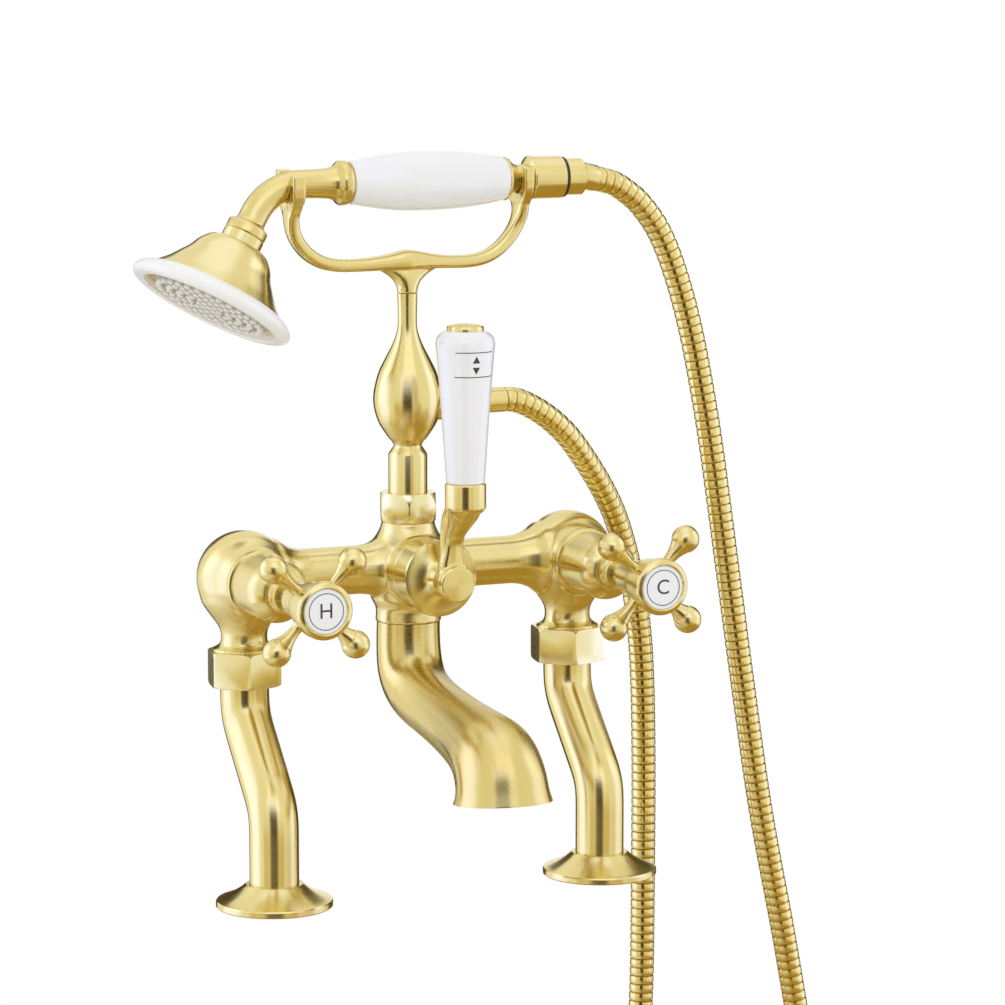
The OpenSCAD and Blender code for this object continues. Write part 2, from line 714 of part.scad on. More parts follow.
// Spout: each station has a point on its upper rail, one on its lower rail, half a width
// and how much of a change of reach it takes
drawn_reach = 121;
spout_stations = [
    [16.4, 0, -16.4, 0, 16.4, 0],
    [16.6, 10, -16.9, 14, 16.6, 0],
    [19, 17.8, -14.5, 29.5, 16.9, 0],
    [26, 21.8, -6, 42.5, 16.8, 0.1],
    [38, 24.1, 12, 51.7, 16.5, 0.25],
    [55, 26.3, 42, 56.4, 16.2, 0.45],
    [76, 28.4, 66, 60.8, 17, 0.65],
    [97, 29.9, 83, 64.6, 18.8, 0.85],
    [113, 31.5, 91, 66.9, 20.5, 1],
    [125, 36, 94.5, 68.4, 21.5, 1],
    [134, 43.5, 96.3, 69.7, 22.2, 1],
    [140.5, 53, 97.2, 70.8, 22.8, 1],
    [143.6, 62.5, 97.3, 72.2, 23.5, 1],
    [146, 69.5, 96.5, 74.2, 24.9, 1]
];
function spout_point(s, k) = [0, bar_y - s[k] - s[5] * (spout_reach - drawn_reach), spout_top - s[k + 1]];
function spout_rings(stations, wall) = [
    for (s = stations)
        let (upper = spout_point(s, 0), lower = spout_point(s, 2), half = (upper - lower) / 2)
            oval((upper + lower) / 2, [s[4] - wall, 0, 0], half * (1 - wall / norm(half)), 28)
];
module spout() color(brass)
    pipe(spout_rings(smooth(spout_stations, 3), 0), spout_rings(spout_stations, spout_wall));
module spout_nipple() color(brass) at_column() difference() {
    rod(nipple_r, spout_top - nipple_l, spout_top + nipple_l);
    rod(waterway_d / 2 + 1, spout_top - nipple_l - 1, spout_top + nipple_l + 1);
}

// Perforated disc that straightens the flow, seated all round in the spout's mouth
straightener_t = 2;
straightener_taper = 0.8;
straightener_place = 0.3;
mouth = spout_stations[len(spout_stations) - 1];
mouth_seat = mouth + (spout_stations[len(spout_stations) - 2] - mouth) * (1 - straightener_place);
seat_front = spout_point(mouth_seat, 0);
seat_back = spout_point(mouth_seat, 2);
seat_tilt = atan2(seat_front[2] - seat_back[2], seat_back[1] - seat_front[1]);
module flow_straightener() color(white_plastic) difference() {
    rise = straightener_t * [0, sin(seat_tilt), cos(seat_tilt)];
    loft([
        spout_rings([mouth_seat], spout_wall + seat_gap)[0],
        [for (p = spout_rings([mouth_seat], spout_wall + straightener_taper)[0]) p + rise]
    ]);
    translate((seat_front + seat_back) / 2) rotate([-seat_tilt, 0, 0])
        for (ring = [0:3])
            for (k = [0:max(6 * ring - 1, 0)])
                rotate(60 * k / max(ring, 1)) translate([4.5 * ring, 0, 0])
                    rod(1.5, -1, straightener_t + 1);
}

// Riser: flanged foot, nut, stub, waist, vase-shaped bulb with a side outlet and slender neck
module riser_nut() color(brass) at_column() difference() {
    rotate(riser_nut_turn) hexagon(riser_nut_af, riser_foot, riser_foot + riser_nut_h);
    rod(riser_thread_r + seat_gap, riser_foot - 1, riser_head + riser_lip_t + seat_gap);
    rod(riser_stub_d / 2 + seat_gap, riser_head, riser_foot + riser_nut_h + 1);
}
module riser() color(brass) difference() {
    stub = riser_stub_d / 2;
    neck = stem_d / 2;
    bulb = bulb_d / 2;
    rise = riser_top - bulb_z;
    union() {
        at_column() turned(concat(
            [[0, riser_head], [riser_thread_r - 0.4, riser_head],
                [riser_thread_r - 0.4, riser_head + riser_lip_t], [stub, riser_head + riser_lip_t],
                [stub, bulb_z - 25.8], [stub - 0.4, bulb_z - 24.8], [stub - 2.7, bulb_z - 21.4]],
            smooth([
                [stub - 2.8, bulb_z - 20.8], [stub - 1.7, bulb_z - 19], [stub + 0.8, bulb_z - 16],
                [bulb - 2.2, bulb_z - 8], [bulb, bulb_z + 0.05 * rise], [bulb - 2.3, bulb_z + 0.263 * rise],
                [neck + 6.8, bulb_z + 0.404 * rise], [neck + 2.9, bulb_z + 0.537 * rise],
                [neck + 0.2, bulb_z + 0.675 * rise], [neck - 0.1, bulb_z + 0.838 * rise],
                [neck + 0.2, riser_top]
            ], 4),
            [[0, riser_top]]
        ));
        translate([0, bar_y, bulb_z]) rightward() {
            rod(boss_r, 0, boss_x);
            rod(outlet_thread_r, 0, boss_x + outlet_thread_l);
        }
    }
    at_column() rod(waterway_d / 2 - 1, riser_head - 1, bulb_z + 4);
    translate([0, bar_y, bulb_z]) rightward() rod(waterway_d / 2 - 2, 0, boss_x + outlet_thread_l + 1);
}

// Cradle: bowed arms, a flared stem and a fork at each end
// Each station of the bow: share of the span, drop under the handset's axis, half depth and half thickness
left_bow = [
    [1, 13, 6.4, 2.7], [1, 18, 5.2, 2.8], [0.985, 24, 4, 2.9], [0.94, 29.8, 3.6, 2.9],
    [0.86, 35.4, 3.5, 2.9], [0.745, 39.6, 3.6, 2.9], [0.6, 41.6, 3.6, 2.9], [0.4, 41.8, 3.8, 2.9],
    [0.18, 41, 4.4, 3.5], [0, 40.2, 5, 4.7]
];
right_bow = [
    [1, 13, 6.4, 2.7], [0.995, 18, 5.2, 2.8], [0.96, 24, 4, 2.9], [0.895, 30.2, 3.6, 2.9],
    [0.795, 36.2, 3.5, 2.9], [0.675, 40.1, 3.6, 2.9], [0.53, 41.7, 3.6, 2.9], [0.34, 41.6, 3.8, 2.9],
    [0.17, 40.8, 4.4, 3.5]
];
bow_round = 0.65;
drawn_arm_d = 5.8;
function joined(a, b) =
    concat([for (s = a) [-s[0], s[1], s[2], s[3]]], [for (i = [len(b) - 1:-1:0]) b[i]]);
module cradle_bow() {
    path = smooth(joined(left_bow, right_bow), 3);
    thin = cradle_arm_d / drawn_arm_d;
    spine = [for (s = path) [s[0] * fork_x, bar_y, handset_height - s[1]]];
    loft([
        for (i = [0:len(path) - 1])
            let (s = path[i], out = cross(heading(spine, i), [0, 1, 0]))
                cushion(spine[i], [0, s[2] * thin, 0], s[3] * thin * out, bow_round, 16)
    ]);
}
module cradle_stem() {
    flare = smooth([
        [0, 1.04, 1.04], [3, 1.1, 1.06], [6, 1.4, 1.08], [8.5, 1.9, 1.06], [10.8, 2.6, 1], [13, 3.5, 0.84],
        [14.6, 4, 0.6]
    ], 2);
    loft([
        for (s = flare)
            oval([0, bar_y, riser_top + s[0]], [s[1] * stem_d / 2, 0, 0], [0, s[2] * stem_d / 2, 0], 24)
    ]);
}
module fork(x, held_r, drop, front_rise, back_rise) {
    hollow = held_r + lift_gap;
    half = hollow + prong_t;
    centre = handset_height - drop;
    side = smooth([
        [half, 0], [half - 0.7, -4.5], [half - 2.6, -9], [half - 5.4, -12.5], [half - 7.4, -15]
    ], 2);
    translate([x - fork_w / 2, bar_y, 0]) rotate([90, 0, 90]) linear_extrude(fork_w) difference() {
        polygon(concat(
            [[-half, handset_height + front_rise]],
            [for (p = side) [-p[0], centre + p[1]]],
            [for (i = [len(side) - 1:-1:0]) [side[i][0], centre + side[i][1]]],
            [[half, handset_height + back_rise], [hollow, handset_height + back_rise], [hollow, centre],
                [-hollow, centre], [-hollow, handset_height + front_rise]]
        ));
        translate([0, centre]) circle(r = hollow, $fn = 96);
    }
}
module cradle() color(brass) {
    cradle_bow();
    cradle_stem();
    fork(-fork_x, handset_neck_d / 2, elbow_sag, 4.8, 7);
    fork(fork_x, waist_r, 0, 6.2, 6.2);
}

// Hose connection on the riser
module hose_nut() color(brass) translate([0, bar_y, bulb_z]) rightward() difference() {
    rotate(30) hexagon(2 * boss_r + 2, boss_x, boss_x + outlet_nut_l);
    rod(outlet_thread_r + seat_gap, boss_x - 1, boss_x + outlet_thread_l + 0.5);
    rod(5 + seat_gap, boss_x, boss_x + outlet_nut_l + 1);
}
module hose_sleeve() color(brass) translate([0, bar_y, bulb_z]) rightward() difference() {
    union() {
        rod(5, boss_x + outlet_thread_l + 0.6, boss_x + outlet_nut_l + 1);
        rod(hose_d / 2 + 0.3, boss_x + outlet_nut_l, outlet_end[0] + hose_straight);
    }
    rod(waterway_d / 2 - 3, boss_x, outlet_end[0] + 1);
    rod(hose_d / 2 - rib_depth + seat_gap, outlet_end[0], outlet_end[0] + hose_straight + 1);
}

// Hose: straight at both ends, smooth between them, with ribs spaced evenly along it
hose_route = concat(
    [for (p = hose_low) p + outlet_end - hose_low[0]],
    [for (p = hose_high) p + handset_end - hose_high[len(hose_high) - 1]]
);
function leading(a, b, c) = c - 2 * norm(c - b) * (b - a) / norm(b - a);
function hose_line(p, n) = let (m = len(p) - 1) [
    p[0],
    for (i = [1:m - 2])
        for (k = [0:n - 1])
            between(
                i == 1 ? leading(p[0], p[1], p[2]) : p[i - 1], p[i], p[i + 1],
                i == m - 2 ? leading(p[m], p[m - 1], p[m - 2]) : p[i + 2], k / n
            ),
    p[m - 1],
    p[m]
];
function running(p) = [
    for (i = 0, s = 0; i < len(p); s = s + (i + 1 < len(p) ? norm(p[i + 1] - p[i]) : 0), i = i + 1) s
];
hose_points = hose_line(hose_route, 12);
hose_marks = running(hose_points);
hose_length = hose_marks[len(hose_marks) - 1];
hose_x = [for (i = [0:len(hose_points) - 1]) [hose_marks[i], hose_points[i][0]]];
hose_y = [for (i = [0:len(hose_points) - 1]) [hose_marks[i], hose_points[i][1]]];
hose_z = [for (i = [0:len(hose_points) - 1]) [hose_marks[i], hose_points[i][2]]];
function hose_at(s) = [lookup(s, hose_x), lookup(s, hose_y), lookup(s, hose_z)];
function hose_ring(s, r) =
    let (
        d = hose_at(min(s + 1, hose_length)) - hose_at(max(s - 1, 0)),
        t = d / norm(d),
        u = cross([0, 1, 0], t) / norm(cross([0, 1, 0], t))
    ) oval(hose_at(s), r * u, r * cross(t, u), 8);
function plain(s) = s < hose_straight || s > hose_length - hose_straight;
module shower_hose() color(brass) {
    step = hose_length / (2 * hose_ribs);
    crest = hose_d / 2;
    pipe(
        [for (i = [0:2 * hose_ribs])
            hose_ring(i * step, plain(i * step) || i % 2 == 0 ? crest - rib_depth : crest)],
        [for (i = [0:4:2 * hose_ribs]) hose_ring(i * step, hose_bore / 2)]
    );
}
hose_gap = min([
    for (i = [0:6:len(hose_points) - 1])
        for (j = [i + 24:6:len(hose_points) - 1])
            norm(hose_points[i] - hose_points[j])
]) - hose_d;
echo(hose_length = hose_length, hose_gap = hose_gap);

// Rose, measured along its own axis from the end of the elbow
module rose_bell() color(brass) at_rose() {
    z = rose_run;
    shell = [
        [10.6, z + 5.2], [13, z + 5.8], [16, z + 7.2], [18.9, z + 10.4], [20.6, z + 13], [22.2, z + 16.4],
        [25.2, z + 20.6], [30, z + 27], [rose_r - 7.5, z + 32.5]
    ];
    turned(concat(
        [[handset_bore / 2, z], [10, z], [10.6, z + 0.6]],
        smooth(shell, 3),
        [[rose_r - 7.5, z + 36]],
        [[rose_r - 9.5, z + 36]],
        smooth([
            [rose_r - 9.7, z + 32], [27.6, z + 27.4], [22.8, z + 21.4], [19.4, z + 16.4], [16.4, z + 12.2],
            [12, z + 9]
        ], 2),
        [[handset_bore / 2, z + 8.6]]
    ));
}
module rose_rim() color(white_plastic) at_rose() {
    z = rose_run;
    inner = rose_r - 7.5 + seat_gap;
    turned(concat(
        [[inner, z + 33.2]],
        smooth([
            [rose_r - 7, z + 32.6], [rose_r - 3.6, z + 34], [rose_r - 0.8, z + 36.4], [rose_r, z + 38.6],
            [rose_r - 0.9, z + 40.4], [rose_r - 3, z + 41.5], [rose_r - 6, z + 41.8]
        ], 3),
        [[rose_r - 7.2, z + 41.2], [rose_r - 7.4, z + 39.6], [inner, z + 38.4]]
    ));
}
module spray_plate() color(brass) at_rose() rod(rose_r - 7.5, rose_run + 36, rose_run + 38.2);
module spray_nozzles() color(white_plastic) at_rose() {
    rod(rose_r - 12, rose_run + 38.2, rose_run + 39);
    for (ring = [0:4])
        for (k = [0:max(6 * ring - 1, 0)])
            rotate(60 * k / max(ring, 1)) translate([(rose_r - 15) / 4 * ring, 0, 0])
                rod(nozzle_r, rose_run + 38.5, rose_run + 41.6);
}

// Neck: flared flange at the grip, straight tube, elbow and collar at the rose
module neck_run(d, near, far) {
    rightward() rod(d / 2, elbow_x - lap, near);
    translate([elbow_x, 0, -elbow_r]) rotate([90, 0, 0]) rotate([0, 0, 90])
        rotate_extrude(angle = rose_bend, $fn = 96) translate([elbow_r, 0]) circle(d = d - 2 * lap_step);
    translate([elbow_x - elbow_r * sin(rose_bend), 0, -elbow_r * (1 - cos(rose_bend))])
        rotate([0, 270 - rose_bend, 0]) rod(d / 2, -lap, far);
}
module handset_neck() color(brass) difference() {
    r = handset_neck_d / 2;
    union() {
        at_handset() neck_run(handset_neck_d, neck_start + 1, rose_run);
        along_handset() turned(concat(
            [[0, neck_start - 12], [r - 0.3, neck_start - 12]],
            smooth([
                [r + 0.3, neck_start - 6], [r + 0.8, neck_start - 1], [r + 1.7, neck_start + 1.4],
                [r + 3.3, neck_start + 2.9], [r + 4, neck_start + 4]
            ], 2),
            [[r + 4.1, neck_start + 4.8], [r + 4.1, neck_start + 6.8], [r + 3.7, neck_start + 7.8]],
            [[r + 3.1, neck_start + 8.7], [r + 2.9, grip_near], [0, grip_near]]
        ));
        at_rose() turned([
            [0, 3], [r, 3], [r + 0.4, 4.4], [r + 1.6, 5.4], [r + 2.8, 6], [r + 3.3, 6.8],
            [r + 3.3, rose_run - 0.4], [r + 2.9, rose_run], [0, rose_run]
        ]);
    }
    at_handset() neck_run(handset_bore, grip_near - 7, rose_run + 1);
    along_handset() rod(tube_r + seat_gap, grip_near - 7, grip_near + 1);
}

// Ceramic grip, pulled up between its two collars by the tube inside it
module handset_grip() color(ceramic) along_handset() difference() {
    end_r = 11;
    swell = grip_d / 2 - end_r;
    turned(concat(
        [[0, grip_near], [end_r - 0.4, grip_near]],
        smooth([
            [end_r, grip_near + 0.6], [end_r + swell * 0.48, grip_near + grip_l * 0.14],
            [end_r + swell * 0.88, grip_near + grip_l * 0.3], [end_r + swell, grip_near + grip_l * 0.47],
            [end_r + swell * 0.9, grip_near + grip_l * 0.66],
            [end_r + swell * 0.52, grip_near + grip_l * 0.86], [end_r, grip_far - 0.6]
        ], 5),
        [[end_r - 0.4, grip_far], [0, grip_far]]
    ));
    rod(tube_r + seat_gap, grip_near - 1, grip_far + 1);
}
module handset_tube() color(brass) along_handset() difference() {
    rod(tube_r, grip_near - 6.5, waist_near);
    rod(handset_bore / 2, grip_near - 8, waist_near + 1);
}

// Rear collar, waist in the cradle's fork, connector, swivel ring and the hose's end
module rear_collar() color(brass) along_handset() difference() {
    turned(concat(
        [[0, grip_far], [10.8, grip_far], [11.2, grip_far + 0.5], [11.1, grip_far + 1]],
        smooth([
            [10.5, grip_far + 1.8], [9.2, grip_far + 3], [8.1, grip_far + 4.4],
            [waist_r + 0.2, waist_near - 0.6], [waist_r, waist_near]
        ], 2),
        [[waist_r, waist_far], [0, waist_far]]
    ));
    rod(tube_r + seat_gap, grip_far - 1, waist_near);
    rod(handset_bore / 2, grip_far, waist_far + 1);
}
module handset_connector() color(brass) along_handset() difference() {
    r = connector_d / 2;
    far = connector_near + connector_l;
    turned(concat(
        [[0, waist_far], [waist_r + 0.4, waist_far]],
        smooth([[waist_r + 1.8, waist_far + 0.3], [r, waist_far + 1], [r + 0.5, waist_far + 1.8]], 2),
        [[r + 0.4, connector_near - 0.3], [r, connector_near], [r, far - 0.4], [r - 0.4, far], [0, far]]
    ));
    rod(handset_bore / 2, waist_far - 1, far + 1);
}
module swivel_ring() color(black_rubber) along_handset() difference() {
    rod(connector_d / 2 - 0.5, connector_near + connector_l, connector_near + connector_l + ring_t);
    rod(handset_bore / 2, connector_near, collar_far);
}
module hose_collar() color(brass) {
    near = connector_near + connector_l + ring_t;
    difference() {
        union() {
            along_handset() turned([
                [0, near], [hose_collar_r, near], [hose_collar_r, collar_far - 0.5],
                [hose_collar_r - 0.5, collar_far], [0, collar_far]
            ]);
            translate(handset_end) rotate([0, hose_droop, 0]) rightward() rod(hose_d / 2 + 0.3, -6, -0.3);
        }
        along_handset() rod(hose_bore / 2, near - 1, collar_far - 2);
        translate(handset_end) rotate([0, hose_droop, 0]) rightward() rod(hose_bore / 2, -7, 1);
    }
}

hot_flange();
cold_flange();
hot_leg();
cold_leg();
hot_union_nut();
cold_union_nut();
leg_washers();
mixer_body();
hot_bonnet();
cold_bonnet();
hot_cartridge();
cold_cartridge();
diverter_bonnet();
diverter_cartridge();
spout();
spout_nipple();
flow_straightener();
riser_nut();
riser();
cradle();
hose_nut();
hose_sleeve();
shower_hose();
hot_spindle();
hot_cross();
hot_index_ring();
hot_index();
hot_screw();
cold_spindle();
cold_cross();
cold_index_ring();
cold_index();
cold_screw();
diverter_spindle();
lever_arm();
lever_cap();
lever_grip();
lever_rod();
lever_button();
rose_bell();
rose_rim();
spray_plate();
spray_nozzles();
handset_neck();
handset_grip();
handset_tube();
rear_collar();
handset_connector();
swivel_ring();
hose_collar();
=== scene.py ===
# %% [markdown]
# A bath shower mixer in satin brass
#
# The real object is a deck-mounted mixer: two cranked legs, a bar with a valve at each end,
# a swan-neck spout, a riser with a cradle, and a hand shower on a ribbed hose. Its solids come
# packed from CAD. This lesson loads them as a fixed frame and then gives them what CAD leaves out:
# rounded castings, a ribbed hose, printed marks, brushed metal, glaze and studio light.

# %% Load the frame
import json
from math import cos, degrees, pi, radians, sin, sqrt

import bpy
from mathutils import Matrix, Vector

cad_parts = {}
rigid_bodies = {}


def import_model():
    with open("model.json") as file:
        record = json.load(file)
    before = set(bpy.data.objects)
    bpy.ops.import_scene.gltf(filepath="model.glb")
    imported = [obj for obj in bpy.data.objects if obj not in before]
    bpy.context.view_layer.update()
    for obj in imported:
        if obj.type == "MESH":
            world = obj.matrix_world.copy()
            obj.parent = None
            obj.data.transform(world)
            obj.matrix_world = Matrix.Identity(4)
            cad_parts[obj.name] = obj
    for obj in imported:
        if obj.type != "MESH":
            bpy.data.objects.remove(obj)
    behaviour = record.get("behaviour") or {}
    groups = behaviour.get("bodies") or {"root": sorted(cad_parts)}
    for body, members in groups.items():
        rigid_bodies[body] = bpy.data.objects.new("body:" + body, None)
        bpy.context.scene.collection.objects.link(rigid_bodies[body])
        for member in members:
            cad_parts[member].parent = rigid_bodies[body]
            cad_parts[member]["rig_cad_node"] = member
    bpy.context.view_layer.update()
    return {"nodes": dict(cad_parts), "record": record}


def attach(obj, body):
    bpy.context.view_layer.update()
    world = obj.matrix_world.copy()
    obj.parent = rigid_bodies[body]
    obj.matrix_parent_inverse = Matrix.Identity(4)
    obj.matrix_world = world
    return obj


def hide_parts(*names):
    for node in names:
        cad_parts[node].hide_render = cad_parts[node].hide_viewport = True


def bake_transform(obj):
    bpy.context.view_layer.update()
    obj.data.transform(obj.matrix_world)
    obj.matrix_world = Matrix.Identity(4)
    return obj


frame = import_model()
MM = 0.001
print("CAD nodes:", len(frame["nodes"]))

# %% [markdown]
# The camera comes first, because every later choice is judged through it. The photograph is a long
# lens shot from the front, a little to the left and a little above. A long lens keeps the two legs
# nearly the same size, so the focal length matters as much as the angle.

# %% Camera
CAMERA_PLACE = Vector((-805.9, -1914.6, 494.0)) * MM
CAMERA_AIM = Vector((55.3, 46.2, 190.3)) * MM
CAMERA_LENS, SENSOR_WIDTH, SIGHT_LIMIT = 148.97, 36.0, 50.0


def clear_selection():
    """Leave edit mode and select nothing, because operators act on all that is selected."""
    if bpy.context.object and bpy.context.object.mode != "OBJECT":
        bpy.ops.object.mode_set(mode="OBJECT")
    bpy.ops.object.select_all(action="DESELECT")


clear_selection()
look = (CAMERA_AIM - CAMERA_PLACE).to_track_quat("-Z", "Y").to_euler()
bpy.ops.object.camera_add(location=CAMERA_PLACE, rotation=look)
camera = bpy.context.object
camera.name = "studio_camera"
camera.data.lens = CAMERA_LENS
camera.data.sensor_width = SENSOR_WIDTH
camera.data.clip_end = SIGHT_LIMIT
bpy.context.scene.camera = camera
print("camera looks down by", round(degrees(pi / 2 - look.x), 2), "degrees")

# %% [markdown]
# The hose is a fixed length of wound metal strip. It leaves the side of the riser, hangs in a loop
# below the deck and comes back up to the handset. The route repeats the CAD's points. A smooth curve
# is drawn through them, with straight ends where the sleeves hold the hose.

# %% Route of the hose
HOSE_POINTS = [
    (40, 41, 245), (53, 41, 245), (63, 41, 243.5), (77, 42, 236), (90, 43, 225), (102, 46, 211),
    (114, 49, 194), (123, 51, 177), (131, 53, 154), (136, 54, 132), (140, 55, 100), (142, 56, 50),
    (142, 56, -20), (141, 56, -90), (135, 55, -155), (125, 54, -215), (117, 52, -272), (122, 50, -322),
    (148, 48, -358), (187, 46, -368), (224, 44, -350), (246, 43, -307), (250, 42, -245), (242, 41, -170),
    (228, 41, -98), (219, 41, -52), (205, 41, 15), (194, 41, 82), (184, 41, 147), (174, 41, 212),
    (167, 41, 250), (160, 41, 281), (152, 41, 307), (143, 41, 328), (133, 41, 342), (124, 41, 350),
    (113, 41, 356), (100, 41, 359),
]
HOSE_STEPS = 12


def between(a, b, c, d, t):
    """A point on the smooth curve from b to c."""
    return 0.5 * (
        2 * b + (c - a) * t + (2 * a - 5 * b + 4 * c - d) * t * t + (3 * b - a - 3 * c + d) * t * t * t
    )


def smooth_route(points, steps):
    """Straight first and last runs with a smooth curve between them."""
    first = points[2] - 2 * (points[2] - points[1]).length * (points[1] - points[0]).normalized()
    last = points[-3] - 2 * (points[-3] - points[-2]).length * (points[-2] - points[-1]).normalized()
    knots = [first] + points[1:-1] + [last]
    line = [points[0]]
    for i in range(1, len(knots) - 2):
        for k in range(steps):
            line.append(between(knots[i - 1], knots[i], knots[i + 1], knots[i + 2], k / steps))
    return line + [points[-2], points[-1]]


hose_route = smooth_route([Vector(p) * MM for p in HOSE_POINTS], HOSE_STEPS)
hose_length = sum((b - a).length for a, b in zip(hose_route, hose_route[1:]))
print("hose length", round(hose_length, 4), "m")

# %% [markdown]
# Every piece goes through the same few moves: it is edited, its modifiers are applied, its place goes
# into its mesh and it is shaded. An operator acts on all that is selected, so each move first picks one
# piece alone. Written once, the moves keep the later cells short.

# %% Moves for every piece
MERGE = 0.000005


def pick(piece):
    """Select one piece alone and make it active."""
    clear_selection()
    piece.select_set(True)
    bpy.context.view_layer.objects.active = piece


def edit(piece, choose="DESELECT"):
    """Open one piece in edit mode with nothing, or everything, selected."""
    pick(piece)
    bpy.ops.object.mode_set(mode="EDIT")
    bpy.ops.mesh.select_all(action=choose)


def apply_modifiers(piece):
    """Make every modifier part of the mesh."""
    pick(piece)
    for modifier in list(piece.modifiers):
        bpy.ops.object.modifier_apply(modifier=modifier.name)


def settle(piece):
    """Put a piece's place, turn and size into its mesh."""
    pick(piece)
    bpy.ops.object.transform_apply(location=True, rotation=True, scale=True)


def shade(piece, angle):
    """Shade curves smooth and keep edges sharper than the angle crisp."""
    pick(piece)
    bpy.ops.object.shade_smooth_by_angle(angle=radians(angle))


def close_skin(piece):
    """Merge doubled corners and turn every face outwards."""
    edit(piece, "SELECT")
    bpy.ops.mesh.remove_doubles(threshold=MERGE)
    bpy.ops.mesh.normals_make_consistent(inside=False)
    clear_selection()


print("corners closer than", round(MERGE / MM, 4), "mm are merged")

# %% [markdown]
# The hose, the legs and the handset's neck all follow a bent line. Bending each arc with Spin would need
# a new pivot every time. A Curve modifier bends a straight piece along any line at once, so these pieces
# are modelled straight along X and then laid on their line.

# %% Bending along a line


def route_curve(points):
    """A poly curve through the points, for a Curve modifier."""
    clear_selection()
    bpy.ops.curve.primitive_nurbs_path_add()
    path = bpy.context.object
    path.data.splines.clear()
    spline = path.data.splines.new("POLY")
    spline.points.add(len(points) - 1)
    for point, place in zip(spline.points, points):
        point.co = (*place, 1.0)
    return path


def lay_along(piece, points):
    """Bend a piece that lies along X so that its X axis follows the points."""
    path = route_curve(points)
    along = piece.modifiers.new("along", "CURVE")
    along.object = path
    along.deform_axis = "POS_X"
    apply_modifiers(piece)
    bpy.data.objects.remove(path)
    close_skin(piece)


print("the hose's line has", len(hose_route), "points")

# %% [markdown]
# A wound hose looks like a stack of narrow rings, each with a flat crown and a tight groove beside it.
# One ring is modelled from a circle by extruding and scaling it. An Array repeats the ring and the Curve
# modifier lays the row along the route, which is how a chain or a hose is made by hand.

# %% Ribbed hose
HOSE_DIAMETER = 13.0 * MM
HOSE_SIDES, RING_COUNT, RING_WELD = 20, 322, 0.00001
GROOVE = 0.79
RING_PROFILE = [(0.05, 0.93), (0.1, 0.985), (0.2, 1.0), (0.8, 1.0), (0.9, 0.985), (0.95, 0.93), (1.0, GROOVE)]
pitch = hose_length / RING_COUNT
clear_selection()
bpy.ops.mesh.primitive_circle_add(
    vertices=HOSE_SIDES, radius=GROOVE * HOSE_DIAMETER / 2, rotation=(0, radians(90), 0))
hose = bpy.context.object
hose.name = "ribbed_hose"
settle(hose)
edit(hose, "SELECT")
place, girth = 0.0, GROOVE
for share, size in RING_PROFILE:
    bpy.ops.mesh.extrude_region_move(TRANSFORM_OT_translate={"value": ((share - place) * pitch, 0, 0)})
    bpy.ops.transform.resize(value=(1, size / girth, size / girth))
    place, girth = share, size
bpy.ops.object.mode_set(mode="OBJECT")
array = hose.modifiers.new("rings", "ARRAY")
array.count = RING_COUNT
array.use_relative_offset = False
array.use_constant_offset = True
array.constant_offset_displace = (pitch, 0, 0)
array.use_merge_vertices = True
array.merge_threshold = RING_WELD
lay_along(hose, hose_route)
shade(hose, 38)
print("hose rings", RING_COUNT, "pitch", round(pitch / MM, 2), "mm, faces", len(hose.data.polygons))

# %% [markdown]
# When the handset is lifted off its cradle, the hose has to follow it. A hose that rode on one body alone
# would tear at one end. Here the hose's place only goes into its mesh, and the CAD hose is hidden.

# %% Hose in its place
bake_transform(hose)
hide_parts("shower_hose")

# %% [markdown]
# Most pieces are turned or cast brass, and their CAD shape is right. CAD meshes arrive as loose
# triangles, so each visible node gets a copy with its corners merged and its curves shaded smooth,
# while true edges stay crisp. The copy replaces the node and rides on the same body.

# %% Smooth copies
BODY_OF = {n: body for body, members in frame["record"]["behaviour"]["bodies"].items() for n in members}


def smooth_copy(node, angle=32):
    """A merged, smooth-shaded copy of a CAD node that stands for it."""
    pick(frame["nodes"][node])
    bpy.ops.object.duplicate()
    copy = bpy.context.object
    copy.name = node + "_finish"
    del copy["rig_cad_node"]
    if copy.data.has_custom_normals:
        bpy.ops.mesh.customdata_custom_splitnormals_clear()
    edit(copy, "SELECT")
    bpy.ops.mesh.remove_doubles(threshold=MERGE)
    shade(copy, angle)
    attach(copy, BODY_OF[node])
    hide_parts(node)
    return copy


TURNED_NODES = [
    "hot_flange", "cold_flange", "hot_bonnet", "cold_bonnet", "diverter_bonnet", "riser",
    "hose_nut", "hose_sleeve", "hot_spindle", "hot_cross", "hot_index_ring", "cold_spindle", "cold_cross",
    "cold_index_ring", "lever_cap", "lever_button", "rose_bell", "spray_plate", "rear_collar",
    "handset_connector", "hose_collar",
]
CERAMIC_NODES = ["hot_index", "cold_index", "lever_grip", "handset_grip"]
PLASTIC_NODES = ["rose_rim", "flow_straightener"]
finished = {}
for members, slot in [(TURNED_NODES, "satin_brass"), (CERAMIC_NODES, "white_ceramic"),
                      (PLASTIC_NODES, "white_plastic"), (["swivel_ring"], "black_rubber")]:
    for node in members:
        finished[node] = smooth_copy(node)
print("smooth copies:", len(finished))

# %% [markdown]
# The fittings behind the handset's grip are a touch stouter than their solids. They are turned on one
# straight axis, so a resize about that axis makes them stouter and leaves their length alone.

# %% Stouter fittings
BAR_Y, HANDSET_Z = 41.0, 359.0
FITTING_GIRTH = 1.05
handset_axis = Vector((0, BAR_Y, HANDSET_Z)) * MM
for node in ("handset_connector", "swivel_ring", "hose_collar"):
    edit(finished[node], "SELECT")
    bpy.ops.transform.resize(value=(1, FITTING_GIRTH, FITTING_GIRTH), center_override=handset_axis)
clear_selection()
print("connector is", round(finished["handset_connector"].dimensions.z / MM, 2), "mm thick")

